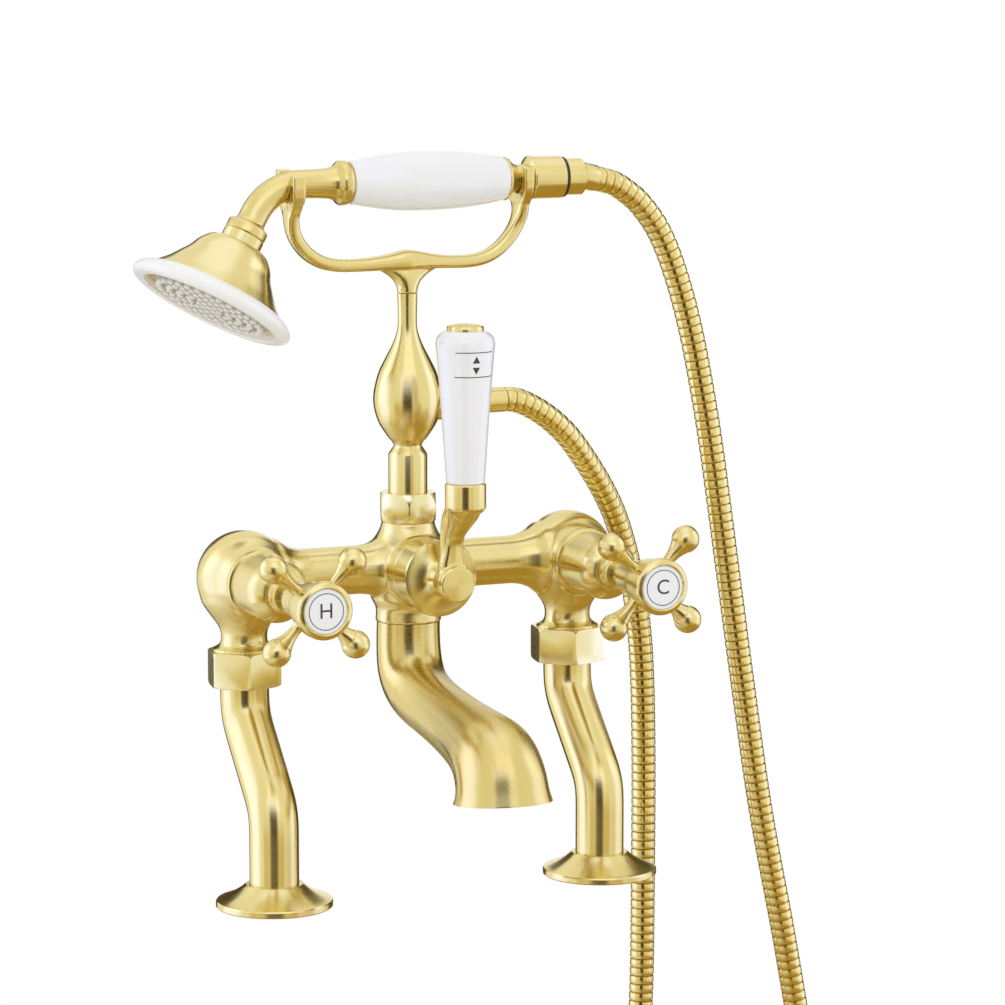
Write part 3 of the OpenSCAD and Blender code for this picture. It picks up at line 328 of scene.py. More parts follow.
# %% [markdown]
# The body, the cradle and the lever are castings: one form flows into the next with no line between
# them. CAD joins them from separate forms, which leaves creases. A voxel Remesh pours one even skin over
# the copy and a Smooth modifier eases it, which rounds every crease by the same small amount, as a mould
# does. The cradle's left fork is a broader plate than the right one, so it is widened first.

# %% Castings
FORK_SIDE, FORK_FOOT, FORK_X, FORK_SHARE = -55.0, 350.0, -63.0, 1.3


def widen_fork(copy):
    """Make the left fork of the cradle a broader plate."""
    edit(copy)
    bpy.ops.mesh.select_mode(type="VERT")
    bpy.ops.object.mode_set(mode="OBJECT")
    for corner in copy.data.vertices:
        x, _, z = corner.co / MM
        corner.select = x < FORK_SIDE and z > FORK_FOOT
    bpy.ops.object.mode_set(mode="EDIT")
    middle = Vector((FORK_X, BAR_Y, HANDSET_Z)) * MM
    bpy.ops.transform.resize(value=(FORK_SHARE, 1, 1), center_override=middle)
    clear_selection()


def cast_copy(node, grain, rounds):
    """A copy of a node with one even skin, eased like a casting."""
    copy = smooth_copy(node)
    if node == "cradle":
        widen_fork(copy)
    skin = copy.modifiers.new("skin", "REMESH")
    skin.mode = "VOXEL"
    skin.voxel_size = grain * MM
    skin.use_smooth_shade = True
    ease = copy.modifiers.new("ease", "SMOOTH")
    ease.factor = 0.5
    ease.iterations = rounds
    apply_modifiers(copy)
    return copy


for node, grain, rounds in [("mixer_body", 0.9, 6), ("cradle", 0.45, 9), ("lever_arm", 0.5, 8)]:
    finished[node] = cast_copy(node, grain, rounds)
    print(node, "faces", len(finished[node].data.polygons))

# %% [markdown]
# The spout swells from its seat to a bell mouth. Its CAD skin is a neat grid of rings, so the triangles
# are paired back into quads and a Subdivision Surface rounds them. The rims at both ends are creased
# first, or the subdivision would melt them.

# %% Spout
PAIR_FLAT, PAIR_SQUARE, RIM_ANGLE = radians(60), radians(150), radians(50)
RIM_CREASE, SPOUT_LEVELS = 0.75, 2
spout = smooth_copy("spout")
edit(spout, "SELECT")
bpy.ops.mesh.tris_convert_to_quads(face_threshold=PAIR_FLAT, shape_threshold=PAIR_SQUARE)
bpy.ops.mesh.select_mode(type="EDGE")
bpy.ops.mesh.select_all(action="DESELECT")
bpy.ops.mesh.edges_select_sharp(sharpness=RIM_ANGLE)
bpy.ops.transform.edge_crease(value=RIM_CREASE)
bpy.ops.object.mode_set(mode="OBJECT")
rounder = spout.modifiers.new("rounder", "SUBSURF")
rounder.levels = SPOUT_LEVELS
rounder.render_levels = SPOUT_LEVELS
apply_modifiers(spout)
shade(spout, 40)
finished["spout"] = spout
print("spout faces", len(spout.data.polygons))

# %% [markdown]
# The legs and the handset's neck are bent tubes with turned ends. Each starts as a circle that is
# extruded and scaled along a straight line, which gives a lathe shape with a bore. Then it is laid along
# its bent axis, so wall and bends stay perfectly round.

# %% Turned tubes
BEND_STEPS = 22


def turned_along(name, points, outline, sides=64):
    """A lathe shape on a bent axis: the outline gives distance along the points and radius, in mm."""
    place, girth = outline[0]
    clear_selection()
    bpy.ops.mesh.primitive_circle_add(
        vertices=sides, radius=girth * MM, location=(place * MM, 0, 0), rotation=(0, radians(90), 0))
    piece = bpy.context.object
    piece.name = name
    settle(piece)
    edit(piece, "SELECT")
    for far, wide in outline[1:]:
        bpy.ops.mesh.extrude_region_move(TRANSFORM_OT_translate={"value": ((far - place) * MM, 0, 0)})
        if wide != girth:
            share = wide / girth
            bpy.ops.transform.resize(value=(1, share, share), center_override=(far * MM, 0, 0))
        place, girth = far, wide
    bpy.ops.object.mode_set(mode="OBJECT")
    lay_along(piece, [Vector(p) * MM for p in points])
    shade(piece, 32)
    return piece


def bend(centre, radius, start, angle, steps):
    """Points of an arc in a plane, as pairs."""
    turns = [radians(start + angle * k / steps) for k in range(steps + 1)]
    return [(centre[0] + radius * cos(t), centre[1] + radius * sin(t)) for t in turns]


def run_of(points):
    """Distance along the points at each of them."""
    run = [0.0]
    for a, b in zip(points, points[1:]):
        run.append(run[-1] + (Vector(b) - Vector(a)).length)
    return run


def stand_for(piece, node):
    """Let a new piece take the place of its CAD node."""
    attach(piece, BODY_OF[node])
    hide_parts(node)
    finished[node] = piece


print("bends have", BEND_STEPS, "steps")

# %% [markdown]
# Each leg is a straight tube with two opposite bends, so its head stands behind its foot. A bending
# machine doesn't start an arc at once: the tube curves in and out gradually. Averaging the axis with its
# neighbours does the same, and it lets the reflections glide round the bend without a step.

# %% Legs
INLET_X = 90.0
LEG_FOOT, LEG_HEAD, LEG_TOP, LEG_CRANK, LEG_BEND, LEG_ANGLE = 41.0, 112.0, 98.0, 41.0, 18.0, 44.0
LEG_RADIUS, LEG_BORE, LEG_COLLAR, COLLAR_TALL = 12.5, 8.0, 14.5, 1.95
INLET_BORE, INLET_DEPTH = 9.5, 18.0
LEG_STEP, LEG_EASE = 1.5, 3


def gentle(points, step, reach, rounds=2):
    """Evenly spaced points along a line, averaged with their neighbours, so that its bends begin gently."""
    run = run_of(points)
    last = round(run[-1] / step)
    line = []
    for far in [run[-1] * k / last for k in range(last + 1)]:
        i = max(j for j in range(len(run) - 1) if run[j] <= far)
        share = (far - run[i]) / (run[i + 1] - run[i])
        line.append(Vector(points[i]).lerp(Vector(points[i + 1]), share))
    for _ in range(rounds):
        spans = [min(reach, k, last - k) for k in range(last + 1)]
        line = [sum(line[k - n:k + n + 1], Vector((0, 0))) / (2 * n + 1) for k, n in enumerate(spans)]
    return [tuple(p) for p in line]


lower_bend = bend((LEG_BEND, LEG_FOOT), LEG_BEND, 180, -LEG_ANGLE, BEND_STEPS)
upper_bend = bend((LEG_CRANK - LEG_BEND, LEG_TOP), LEG_BEND, -LEG_ANGLE, LEG_ANGLE, BEND_STEPS)
leg_axis = gentle([(0, 0)] + lower_bend[:-1] + upper_bend + [(LEG_CRANK, LEG_HEAD)], LEG_STEP, LEG_EASE)
leg_run = run_of(leg_axis)
leg_end = leg_run[-1]
collar_foot = leg_end - COLLAR_TALL
leg_outline = [(d, LEG_RADIUS) for d in leg_run if d < collar_foot] + [
    (collar_foot, LEG_RADIUS), (collar_foot, LEG_COLLAR), (leg_end, LEG_COLLAR), (leg_end, LEG_BORE)]
leg_outline += [(d, LEG_BORE) for d in reversed(leg_run[1:-1]) if d > INLET_DEPTH]
leg_outline += [(INLET_DEPTH, LEG_BORE), (INLET_DEPTH, INLET_BORE), (0, INLET_BORE), (0, LEG_RADIUS)]
for node, x in [("hot_leg", -INLET_X), ("cold_leg", INLET_X)]:
    stand_for(turned_along(node + "_tube", [(x, y, z) for y, z in leg_axis], leg_outline), node)
print("leg length", round(leg_end, 1), "mm")

# %% [markdown]
# The handset's neck carries water from the grip to the rose. It starts as a flange and a trumpet, bends
# down by one long elbow and ends in a swelling with a collar. Flange, trumpet and swelling are only a
# changing radius along one line, so the same turned tube makes them all in one piece.

# %% Neck of the handset
NECK_NEAR, ELBOW_X, ELBOW_R, ROSE_BEND, ROSE_ROLL, ROSE_RUN = -31.65, -57.5, 30.0, 60.0, 6.5, 11.0
NECK_R, NECK_BORE = 7.25, 4.5
FLANGE = [(0, 10.15), (0.8, 10.35), (1.7, 10.95), (2.7, 11.35), (4.7, 11.35)]
TRUMPET = [(5.5, 11.25), (6.6, 10.55), (8.1, 9.0), (10.5, 8.05), (15.5, 7.5), (21, 7.3), (24, 7.25)]
SWELLING = [(3, 7.25), (4.4, 7.65), (5.4, 8.85), (6, 10.05), (6.8, 10.55)]
ROSE_COLLAR = [(10.6, 10.55), (11, 10.15)]


def eased(pairs, steps):
    """A smooth curve through pairs of numbers."""
    knots = [Vector(p) for p in pairs]
    knots = [2 * knots[0] - knots[1]] + knots + [2 * knots[-1] - knots[-2]]
    line = []
    for i in range(1, len(knots) - 2):
        line += [tuple(between(*knots[i - 1:i + 3], k / steps)) for k in range(steps)]
    return line + [tuple(pairs[-1])]


elbow = bend((ELBOW_X, -ELBOW_R), ELBOW_R, 90, ROSE_BEND, 2 * BEND_STEPS)
fall, roll = radians(ROSE_BEND), radians(ROSE_ROLL)
rose_end = (elbow[-1][0] - ROSE_RUN * cos(fall), elbow[-1][1] - ROSE_RUN * sin(fall))
neck_line = [(NECK_NEAR, 0)] + elbow + [rose_end]
neck_route = [(x, BAR_Y + z * sin(roll), HANDSET_Z + z * cos(roll)) for x, z in neck_line]
neck_run = run_of(neck_route)
elbow_run = neck_run[1:-1]
neck_outline = FLANGE + eased(TRUMPET, 3) + [(d, NECK_R) for d in elbow_run]
neck_outline += [(elbow_run[-1] + d, r) for d, r in eased(SWELLING, 2) + ROSE_COLLAR]
neck_outline += [(neck_run[-1], NECK_BORE)] + [(d, NECK_BORE) for d in reversed(elbow_run)]
neck_outline += [(0, NECK_BORE), FLANGE[0]]
stand_for(turned_along("handset_neck_tube", neck_route, neck_outline), "handset_neck")
print("neck length", round(neck_run[-1], 1), "mm")

# %% [markdown]
# The nuts are hexagons that were turned before they were milled. A Boolean with a chamfered cylinder, or
# with a ball for the rounder nut on the body, cuts their corners. Two more Booleans bore the thread and
# the lip, and a Bevel modifier rounds the upright edges, which is what catches the light.

# %% Making a nut
NUT_EDGE, NUT_CHAMFER, ROUND_SIDES = 0.8, 1.9, 96


def cylinder(sides, radius, foot, head, centre=(0, 0), turn=0):
    """An upright cylinder between two heights, all in mm."""
    clear_selection()
    bpy.ops.mesh.primitive_cylinder_add(
        vertices=sides, radius=radius * MM, depth=(head - foot) * MM,
        location=Vector((*centre, (foot + head) / 2)) * MM, rotation=(0, 0, radians(turn)))
    return bpy.context.object


def round_edges(piece, width, sharper):
    """A Bevel modifier on the edges sharper than an angle."""
    bevel = piece.modifiers.new("rounding", "BEVEL")
    bevel.width = width * MM
    bevel.segments = 3
    bevel.limit_method = "ANGLE"
    bevel.angle_limit = radians(sharper)


def cut(piece, cutter, operation="DIFFERENCE"):
    """A Boolean modifier with a cutter that has its place in its mesh."""
    settle(cutter)
    boolean = piece.modifiers.new("cut", "BOOLEAN")
    boolean.operation = operation
    boolean.object = cutter
    boolean.solver = "EXACT"
    return cutter


def hex_nut(name, centre, across, foot, head, turn, bores, ball=None):
    """A hexagon nut with round bores, each given by its radius, foot and head, all in mm."""
    corner = across / sqrt(3)
    nut = cylinder(6, corner, foot, head, centre, turn - 30)
    nut.name = name
    settle(nut)
    if ball:
        clear_selection()
        bpy.ops.mesh.primitive_uv_sphere_add(
            segments=ROUND_SIDES, ring_count=ROUND_SIDES // 2, radius=ball * MM,
            location=Vector((*centre, (foot + head) / 2)) * MM)
        blank = bpy.context.object
    else:
        blank = cylinder(ROUND_SIDES, corner, foot, head, centre)
        round_edges(blank, NUT_CHAMFER, 60)
        apply_modifiers(blank)
    cutters = [cut(nut, blank, "INTERSECT")]
    for radius, low, high in bores:
        cutters.append(cut(nut, cylinder(ROUND_SIDES, radius, low, high, centre)))
    round_edges(nut, NUT_EDGE, 50)
    apply_modifiers(nut)
    for cutter in cutters:
        bpy.data.objects.remove(cutter)
    shade(nut, 30)
    return nut


print("nut edges are rounded by", NUT_EDGE, "mm")

# %% [markdown]
# Two large union nuts hold the legs and a smaller one holds the riser. All three come from the same
# recipe, each at its own size and turn, because a fitter stops turning wherever the nut is tight.

# %% Nuts
UNION = {"across": 34.5, "foot": 106.0, "head": 124.0, "turn": 19.0,
         "bores": [(15.05, 110, 130), (12.55, 100, 115)]}
RISER = {"across": 28.0, "foot": 185.0, "head": 199.8, "turn": 10.0,
         "bores": [(12.05, 180, 194.75), (10.05, 190, 205)], "ball": 15.95}
for node, x, sizes in [("hot_union_nut", -INLET_X, UNION), ("cold_union_nut", INLET_X, UNION),
                       ("riser_nut", 0, RISER)]:
    stand_for(hex_nut(node + "_hexagon", (x, BAR_Y), **sizes), node)
    print(node, "faces", len(finished[node].data.polygons))

# %% [markdown]
# A short crimped ferrule closes the hose's upper end. It is a lathe shape on the last stretch of the
# hose's own route, so it points the way the hose does.

# %% Ferrule
FERRULE = [(-2.6, 6.2), (-2.6, 6.95), (4.6, 6.95), (5.2, 6.75), (5.4, 6.2), (-2.6, 6.2)]
ferrule = turned_along("hose_ferrule", [p / MM for p in reversed(hose_route[-3:])], FERRULE)
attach(ferrule, "handset")
finished["hose_ferrule"] = ferrule
print("ferrule faces", len(ferrule.data.polygons))

# %% [markdown]
# The rose sprays through soft nubs. Each is a short cylinder with a rounded tip, and they stand in rings
# on a thin mat. They are modelled upright at the origin, joined, and then turned with the rose's axis.

# %% Nozzles
NUB_RINGS, NUB_GAP, NUB_SIDES, NUB_R, NUB_FOOT, NUB_TIP, NUB_ROUND = 5, 5.6, 20, 1.6, 38.4, 41.9, 0.75
MAT_R, MAT_FOOT, MAT_HEAD = 31.0, 38.2, 39.0
rose_start = Vector(neck_route[-2])
rose_axis = (Vector(neck_route[-1]) - rose_start).normalized()
mat = cylinder(ROUND_SIDES, MAT_R, ROSE_RUN + MAT_FOOT, ROSE_RUN + MAT_HEAD)
settle(mat)
nub = cylinder(NUB_SIDES, NUB_R, ROSE_RUN + NUB_FOOT, ROSE_RUN + NUB_TIP)
round_edges(nub, NUB_ROUND, 60)
apply_modifiers(nub)
settle(nub)
nubs = [mat, nub]
for ring in range(1, NUB_RINGS + 1):
    for k in range(6 * ring):
        turn = 2 * pi * k / (6 * ring)
        pick(nub)
        bpy.ops.object.duplicate(linked=False)
        bpy.ops.transform.translate(value=Vector((cos(turn), sin(turn), 0)) * ring * NUB_GAP * MM)
        nubs.append(bpy.context.object)
clear_selection()
for piece in nubs:
    piece.select_set(True)
bpy.context.view_layer.objects.active = mat
bpy.ops.object.join()
mat.name = "spray_nubs"
mat.location = rose_start * MM
mat.rotation_euler = rose_axis.to_track_quat("Z", "Y").to_euler()
settle(mat)
shade(mat, 40)
stand_for(mat, "spray_nozzles")
print("nozzles", len(nubs) - 1)

# %% [markdown]
# The two handles are told apart by one plain letter in a thin ring on their ceramic disc. The letter is
# text with a little depth, made into a mesh before its place is applied. The ring is a circle that is
# extruded outwards, back, inwards and forwards again, which closes it into a flat band.

# %% Print on the handles
INDEX_FACE, VALVE_Z, INK = -74.0, 161.0, 0.06
LETTER_SIZE, RING_INSIDE, RING_OUTSIDE = 10.5, 8.7, 9.05
marks = []


def print_mark(mark, body):
    """Let a printed mark ride on a body."""
    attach(mark, body)
    marks.append(mark)


def handle_letter(letter, body, x):
    """A letter on the face of a handle's disc."""
    clear_selection()
    bpy.ops.object.text_add(location=Vector((x, INDEX_FACE, VALVE_Z)) * MM, rotation=(radians(90), 0, 0))
    text = bpy.context.object
    text.data.body = letter
    text.data.align_x = "CENTER"
    text.data.align_y = "CENTER"
    text.data.size = LETTER_SIZE * MM
    text.data.extrude = INK * MM
    bpy.ops.object.convert(target="MESH")
    text = bpy.context.object
    text.name = body + "_letter"
    settle(text)
    print_mark(text, body)


def handle_ring(body, x):
    """A thin ring round the letter."""
    clear_selection()
    bpy.ops.mesh.primitive_circle_add(
        vertices=ROUND_SIDES, radius=RING_INSIDE * MM, location=Vector((x, INDEX_FACE - INK, VALVE_Z)) * MM,
        rotation=(radians(90), 0, 0))
    ring = bpy.context.object
    ring.name = body + "_ring_mark"
    settle(ring)
    edit(ring, "SELECT")
    centre = Vector((x, INDEX_FACE, VALVE_Z)) * MM
    widen = RING_OUTSIDE / RING_INSIDE
    for share, depth in [(widen, 3 * INK * MM), (1 / widen, -3 * INK * MM)]:
        bpy.ops.mesh.extrude_region_move()
        bpy.ops.transform.resize(value=(share, 1, share), center_override=centre)
        bpy.ops.mesh.extrude_region_move(TRANSFORM_OT_translate={"value": (0, depth, 0)})
    close_skin(ring)
    print_mark(ring, body)


for letter, body, x in [("H", "hot_handle", -INLET_X), ("C", "cold_handle", INLET_X)]:
    handle_letter(letter, body, x)
    handle_ring(body, x)
print("marks on the handles:", len(marks))

# %% [markdown]
# The lever shows two lines with an arrow up and an arrow down, for the hand shower and the spout. Its
# grip is round and tapers, so a flat mark would float. A Shrinkwrap lays each mark on the glaze and a
# Solidify gives it the depth of ink, which needs a mark with enough faces to bend.

# %% Print on the lever
LEVER_Y, PRINT_GAP = -34.0, 25.0
LINE_WIDE, LINE_TALL, ARROW_SIZE = 19.6, 0.45, 2.3


def lay_on_grip(mark):
    """Press a flat mark on the lever's grip and give it the depth of ink."""
    wrap = mark.modifiers.new("wrap", "SHRINKWRAP")
    wrap.wrap_method = "PROJECT"
    wrap.use_project_y = True
    wrap.use_positive_direction = True
    wrap.use_negative_direction = False
    wrap.target = finished["lever_grip"]
    wrap.offset = INK * MM
    depth = mark.modifiers.new("depth", "SOLIDIFY")
    depth.thickness = 2 * INK * MM
    depth.offset = -1.0
    apply_modifiers(mark)
    edit(mark, "SELECT")
    bpy.ops.mesh.normals_make_consistent(inside=False)
    clear_selection()
    print_mark(mark, "diverter_lever")


def lever_line(name, height):
    """A thin line across the front of the grip."""
    clear_selection()
    bpy.ops.mesh.primitive_grid_add(
        x_subdivisions=48, y_subdivisions=1, size=1, location=Vector((0, LEVER_Y - PRINT_GAP, height)) * MM,
        rotation=(radians(90), 0, 0))
    line = bpy.context.object
    line.name = name
    line.scale = (LINE_WIDE * MM, LINE_TALL * MM, 1)
    settle(line)
    lay_on_grip(line)


def lever_arrow(name, height, turn):
    """A small triangle that points up or down."""
    clear_selection()
    bpy.ops.mesh.primitive_circle_add(
        vertices=3, radius=ARROW_SIZE * MM, fill_type="NGON",
        location=Vector((0, LEVER_Y - PRINT_GAP, height)) * MM, rotation=(radians(90), radians(turn), 0))
    arrow = bpy.context.object
    arrow.name = name
    settle(arrow)
    edit(arrow, "SELECT")
    bpy.ops.mesh.quads_convert_to_tris()
    bpy.ops.mesh.subdivide(number_cuts=7)
    lay_on_grip(arrow)


lever_line("lever_upper_line", 279.9)
lever_line("lever_lower_line", 267.7)
lever_arrow("lever_up_mark", 275.8, 0)
lever_arrow("lever_down_mark", 271.4, 180)
print("marks in all:", len(marks))

# %% [markdown]
# A finish is a tree of nodes: a noise gives the variation, a mix turns it into colour, a range turns it
# into gloss and a bump into fine relief. All of them read Object coordinates, so a pattern stays on its
# piece when the piece moves. Each step here adds one node, links it and hands on its socket.

# %% Steps of a finish


def new_material(name):
    """A new material with its node tree and its Principled shader."""
    material = bpy.data.materials.new(name)
    material.use_nodes = True
    return material, material.node_tree, material.node_tree.nodes["Principled BSDF"]


def object_place(tree):
    """The place on the piece, in the piece's own coordinates."""
    return tree.nodes.new("ShaderNodeTexCoord").outputs["Object"]


def vector_step(tree, operation, *terms):
    """A Vector Math node on sockets or fixed vectors."""
    step = tree.nodes.new("ShaderNodeVectorMath")
    step.operation = operation
    for socket, term in zip(step.inputs, terms):
        if isinstance(term, bpy.types.NodeSocket):
            tree.links.new(term, socket)
        else:
            socket.default_value = term
    return step.outputs["Value"] if operation in ("LENGTH", "DOT_PRODUCT") else step.outputs["Vector"]


def noise(tree, place, scale, detail=2.0, roughness=0.5):
    """A noise that is read at a place."""
    texture = tree.nodes.new("ShaderNodeTexNoise")
    texture.inputs["Scale"].default_value = scale
    texture.inputs["Detail"].default_value = detail
    texture.inputs["Roughness"].default_value = roughness
    tree.links.new(place, texture.inputs["Vector"])
    return texture.outputs["Fac"]


def colour_between(tree, share, deep, light):
    """A colour that goes from deep to light with a share. Light may be a socket."""
    mix = tree.nodes.new("ShaderNodeMix")
    mix.data_type = "RGBA"
    mix.inputs["A"].default_value = deep
    if isinstance(light, bpy.types.NodeSocket):
        tree.links.new(light, mix.inputs["B"])
    else:
        mix.inputs["B"].default_value = light
    tree.links.new(share, mix.inputs["Factor"])
    return mix.outputs["Result"]


def value_between(tree, share, low, high, start=0.0, end=1.0):
    """A value that goes from low to high while the share goes from start to end."""
    span = tree.nodes.new("ShaderNodeMapRange")
    for name, value in [("From Min", start), ("From Max", end), ("To Min", low), ("To Max", high)]:
        span.inputs[name].default_value = value
    tree.links.new(share, span.inputs["Value"])
    return span.outputs["Result"]


def relief(tree, height, strength, depth):
    """A bump of a given depth in metres."""
    bump = tree.nodes.new("ShaderNodeBump")
    bump.inputs["Strength"].default_value = strength
    bump.inputs["Distance"].default_value = depth
    tree.links.new(height, bump.inputs["Height"])
    return bump.outputs["Normal"]


def dress(tree, shader, **sockets):
    """Link sockets to the shader's inputs."""
    names = {"colour": "Base Color", "gloss": "Roughness", "relief": "Normal", "tangent": "Tangent"}
    for use, socket in sockets.items():
        tree.links.new(socket, shader.inputs[names[use]])


def paint(piece, material):
    """Give a piece one material."""
    piece.data.materials.clear()
    piece.data.materials.append(material)


print("pieces to paint:", len(finished) + len(marks) + 1)

# %% [markdown]
# Satin brass is polished and then brushed. Its colour is a pale yellow with little variation, and its
# roughness comes from fine lines that run round each turned piece. The lines are a noise of the height
# along the piece's axis and the distance from it, so they close into rings on every turned face. Brushing
# blurs reflections across the lines much more than along them, so the shader is anisotropic: its tangent
# runs round the axis, and a quarter turn puts the wide blur along it.

# %% Satin brass
BRASS_TONES = [(0.775, 0.63, 0.24, 1.0), (0.815, 0.7, 0.31, 1.0)]
# A paler copy of the brass colour, as painted light, for the nuts' flat faces.
MILLED_LIT_TONES = [(0.85, 0.76, 0.4, 1.0), (0.88, 0.8, 0.45, 1.0)]
# A darker copy of the brass colour, as painted shade, for the spout and the neck's elbow.
SHADED_BRASS_TONES = [(0.72, 0.57, 0.19, 1.0), (0.76, 0.63, 0.25, 1.0)]
TURNED_GLOSS, CAST_GLOSS, MILLED_GLOSS = (0.19, 0.26), (0.22, 0.29), (0.22, 0.25)
YOKE_GLOSS, HOSE_GLOSS = (0.21, 0.25), (0.15, 0.2)
LINES_SCALE, LINES_DETAIL, LINES_ROUGHNESS, LINES_DEPTH = 1700.0, 3.0, 0.7, 0.00006
CLOUD_SCALE = 26.0


def satin_brass(name, centre, axis=(0, 0, 1), lines=0.05, gloss=TURNED_GLOSS, blur=0.85, tones=BRASS_TONES):
    """Brass brushed round an axis through a centre in mm. Blur is how one-sided its gloss is."""
    material, tree, shader = new_material(name)
    shader.inputs["Metallic"].default_value = 1.0
    shader.inputs["Anisotropic"].default_value = blur
    shader.inputs["Anisotropic Rotation"].default_value = 0.25
    place, along = object_place(tree), Vector(axis).normalized()
    arm = vector_step(tree, "SUBTRACT", place, Vector(centre) * MM)
    around = vector_step(tree, "CROSS_PRODUCT", along, arm)
    rings = tree.nodes.new("ShaderNodeCombineXYZ")
    tree.links.new(vector_step(tree, "DOT_PRODUCT", along, arm), rings.inputs["X"])
    tree.links.new(vector_step(tree, "LENGTH", around), rings.inputs["Y"])
    brush = noise(tree, rings.outputs[0], LINES_SCALE, LINES_DETAIL, LINES_ROUGHNESS)
    cloud = noise(tree, place, CLOUD_SCALE)
    dress(tree, shader, tangent=around, colour=colour_between(tree, cloud, *tones),
          gloss=value_between(tree, brush, *gloss, 0.3, 0.7), relief=relief(tree, brush, lines, LINES_DEPTH))
    return material


ALONG_X, ALONG_Y = (1, 0, 0), (0, 1, 0)
elbow_middle = neck_route[BEND_STEPS]
elbow_axis = Vector(neck_route[BEND_STEPS + 1]) - Vector(elbow_middle)
BRUSHED = {
    "hot_side": satin_brass("brass_hot_valve", (-INLET_X, BAR_Y, VALVE_Z), ALONG_Y),
    "cold_side": satin_brass("brass_cold_valve", (INLET_X, BAR_Y, VALVE_Z), ALONG_Y),
    "middle": satin_brass("brass_diverter", (0, BAR_Y, VALVE_Z), ALONG_Y, lines=0.25),
    "column": satin_brass("brass_column", (0, BAR_Y, 0)),
    "hot_leg": satin_brass("brass_hot_leg", (-INLET_X, 0, 0)),
    "cold_leg": satin_brass("brass_cold_leg", (INLET_X, 0, 0)),
    "bar": satin_brass("brass_bar", (0, BAR_Y, VALVE_Z), ALONG_X, lines=0.02, gloss=CAST_GLOSS),
    # The spout's darker brass colour is painted shade.
    "cast": satin_brass("brass_cast", (0, BAR_Y, 0), lines=0.015, gloss=CAST_GLOSS, tones=SHADED_BRASS_TONES),
    "lever": satin_brass("brass_lever", (0, LEVER_Y, 0), lines=0.02),
    # The nuts' paler brass colour is painted light; their milled finish has no brushed lines.
    "milled": satin_brass("brass_milled_lit", (0, BAR_Y, 0), lines=0.0, gloss=MILLED_GLOSS, blur=0.0,
                          tones=MILLED_LIT_TONES),
    "yoke": satin_brass("brass_yoke", (0, BAR_Y, 0), lines=0.0, gloss=YOKE_GLOSS, blur=0.2),
    # The elbow's darker brass colour is painted shade.
    "elbow": satin_brass("brass_elbow", elbow_middle, elbow_axis, tones=SHADED_BRASS_TONES),
    "handset": satin_brass("brass_handset", (0, BAR_Y, HANDSET_Z), ALONG_X),
    "rose": satin_brass("brass_rose", neck_route[-1], rose_axis),
    "hose": satin_brass("brass_hose", (120, BAR_Y, 0), gloss=HOSE_GLOSS),
}
print("brushed brass finishes:", len(BRUSHED))

# %% [markdown]
# Each brass piece was brushed on its own lathe, so it takes the finish whose lines run round its own
# axis. The hose lies on no straight axis and has a finish to itself.

# %% Brass on each piece
FINISH_OF = {
    "hot_leg": ["hot_flange", "hot_leg"],
    "cold_leg": ["cold_flange", "cold_leg"],
    "milled": ["hot_union_nut", "cold_union_nut", "riser_nut"],
    "bar": ["mixer_body"],
    "hot_side": ["hot_bonnet", "hot_spindle", "hot_cross", "hot_index_ring"],
    "cold_side": ["cold_bonnet", "cold_spindle", "cold_cross", "cold_index_ring"],
    "middle": ["diverter_bonnet", "lever_cap"],
    "lever": ["lever_arm", "lever_button"],
    "cast": ["spout"],
    "yoke": ["cradle"],
    "elbow": ["handset_neck"],
    "rose": ["rose_bell"],
    "handset": ["spray_plate", "rear_collar", "handset_connector", "hose_collar", "hose_ferrule"],
    "column": ["riser", "hose_nut", "hose_sleeve"],
}
for finish, members in FINISH_OF.items():
    for node in members:
        paint(finished[node], BRUSHED[finish])
paint(hose, BRUSHED["hose"])
print("brass pieces:", sum(len(members) for members in FINISH_OF.values()) + 1)

# %% [markdown]
# The grips and index discs are glazed ceramic: a nearly white body under a clear, slightly wavy glaze.
# The rose's rim is a softer white plastic and its nozzles are silicone. White that is one flat colour
# looks unreal, so all three get a faint mottling and a slow wave in their gloss.

# %% White finishes
MOTTLE_SCALE, MOTTLE_DETAIL, GLOSS_SPREAD, WAVE_DEPTH = 60.0, 3.0, 0.08, 0.0003


def white_finish(name, light, deep, roughness, wave, wave_scale):
    """A white surface with faint mottling and a slow wave in its gloss."""
    material, tree, shader = new_material(name)
    place = object_place(tree)
    mottle = noise(tree, place, MOTTLE_SCALE, MOTTLE_DETAIL)
    slow = noise(tree, place, wave_scale)
    dress(tree, shader, colour=colour_between(tree, mottle, deep, light),
          gloss=value_between(tree, mottle, roughness, roughness + GLOSS_SPREAD),
          relief=relief(tree, slow, wave, WAVE_DEPTH))
    return material, tree, shader


glaze, _, shader = white_finish(
    "glazed_ceramic", (0.9, 0.9, 0.905, 1), (0.87, 0.87, 0.875, 1), 0.1, 0.06, 90)
shader.inputs["Coat Weight"].default_value = 0.5
shader.inputs["Coat Roughness"].default_value = 0.06
rim_white, _, _ = white_finish("white_rim", (0.94, 0.935, 0.91, 1), (0.91, 0.9, 0.87, 1), 0.32, 0.05, 300)
for node in CERAMIC_NODES:
    paint(finished[node], glaze)
for node in PLASTIC_NODES:
    paint(finished[node], rim_white)
print("ceramic pieces:", len(CERAMIC_NODES), "plastic pieces:", len(PLASTIC_NODES))
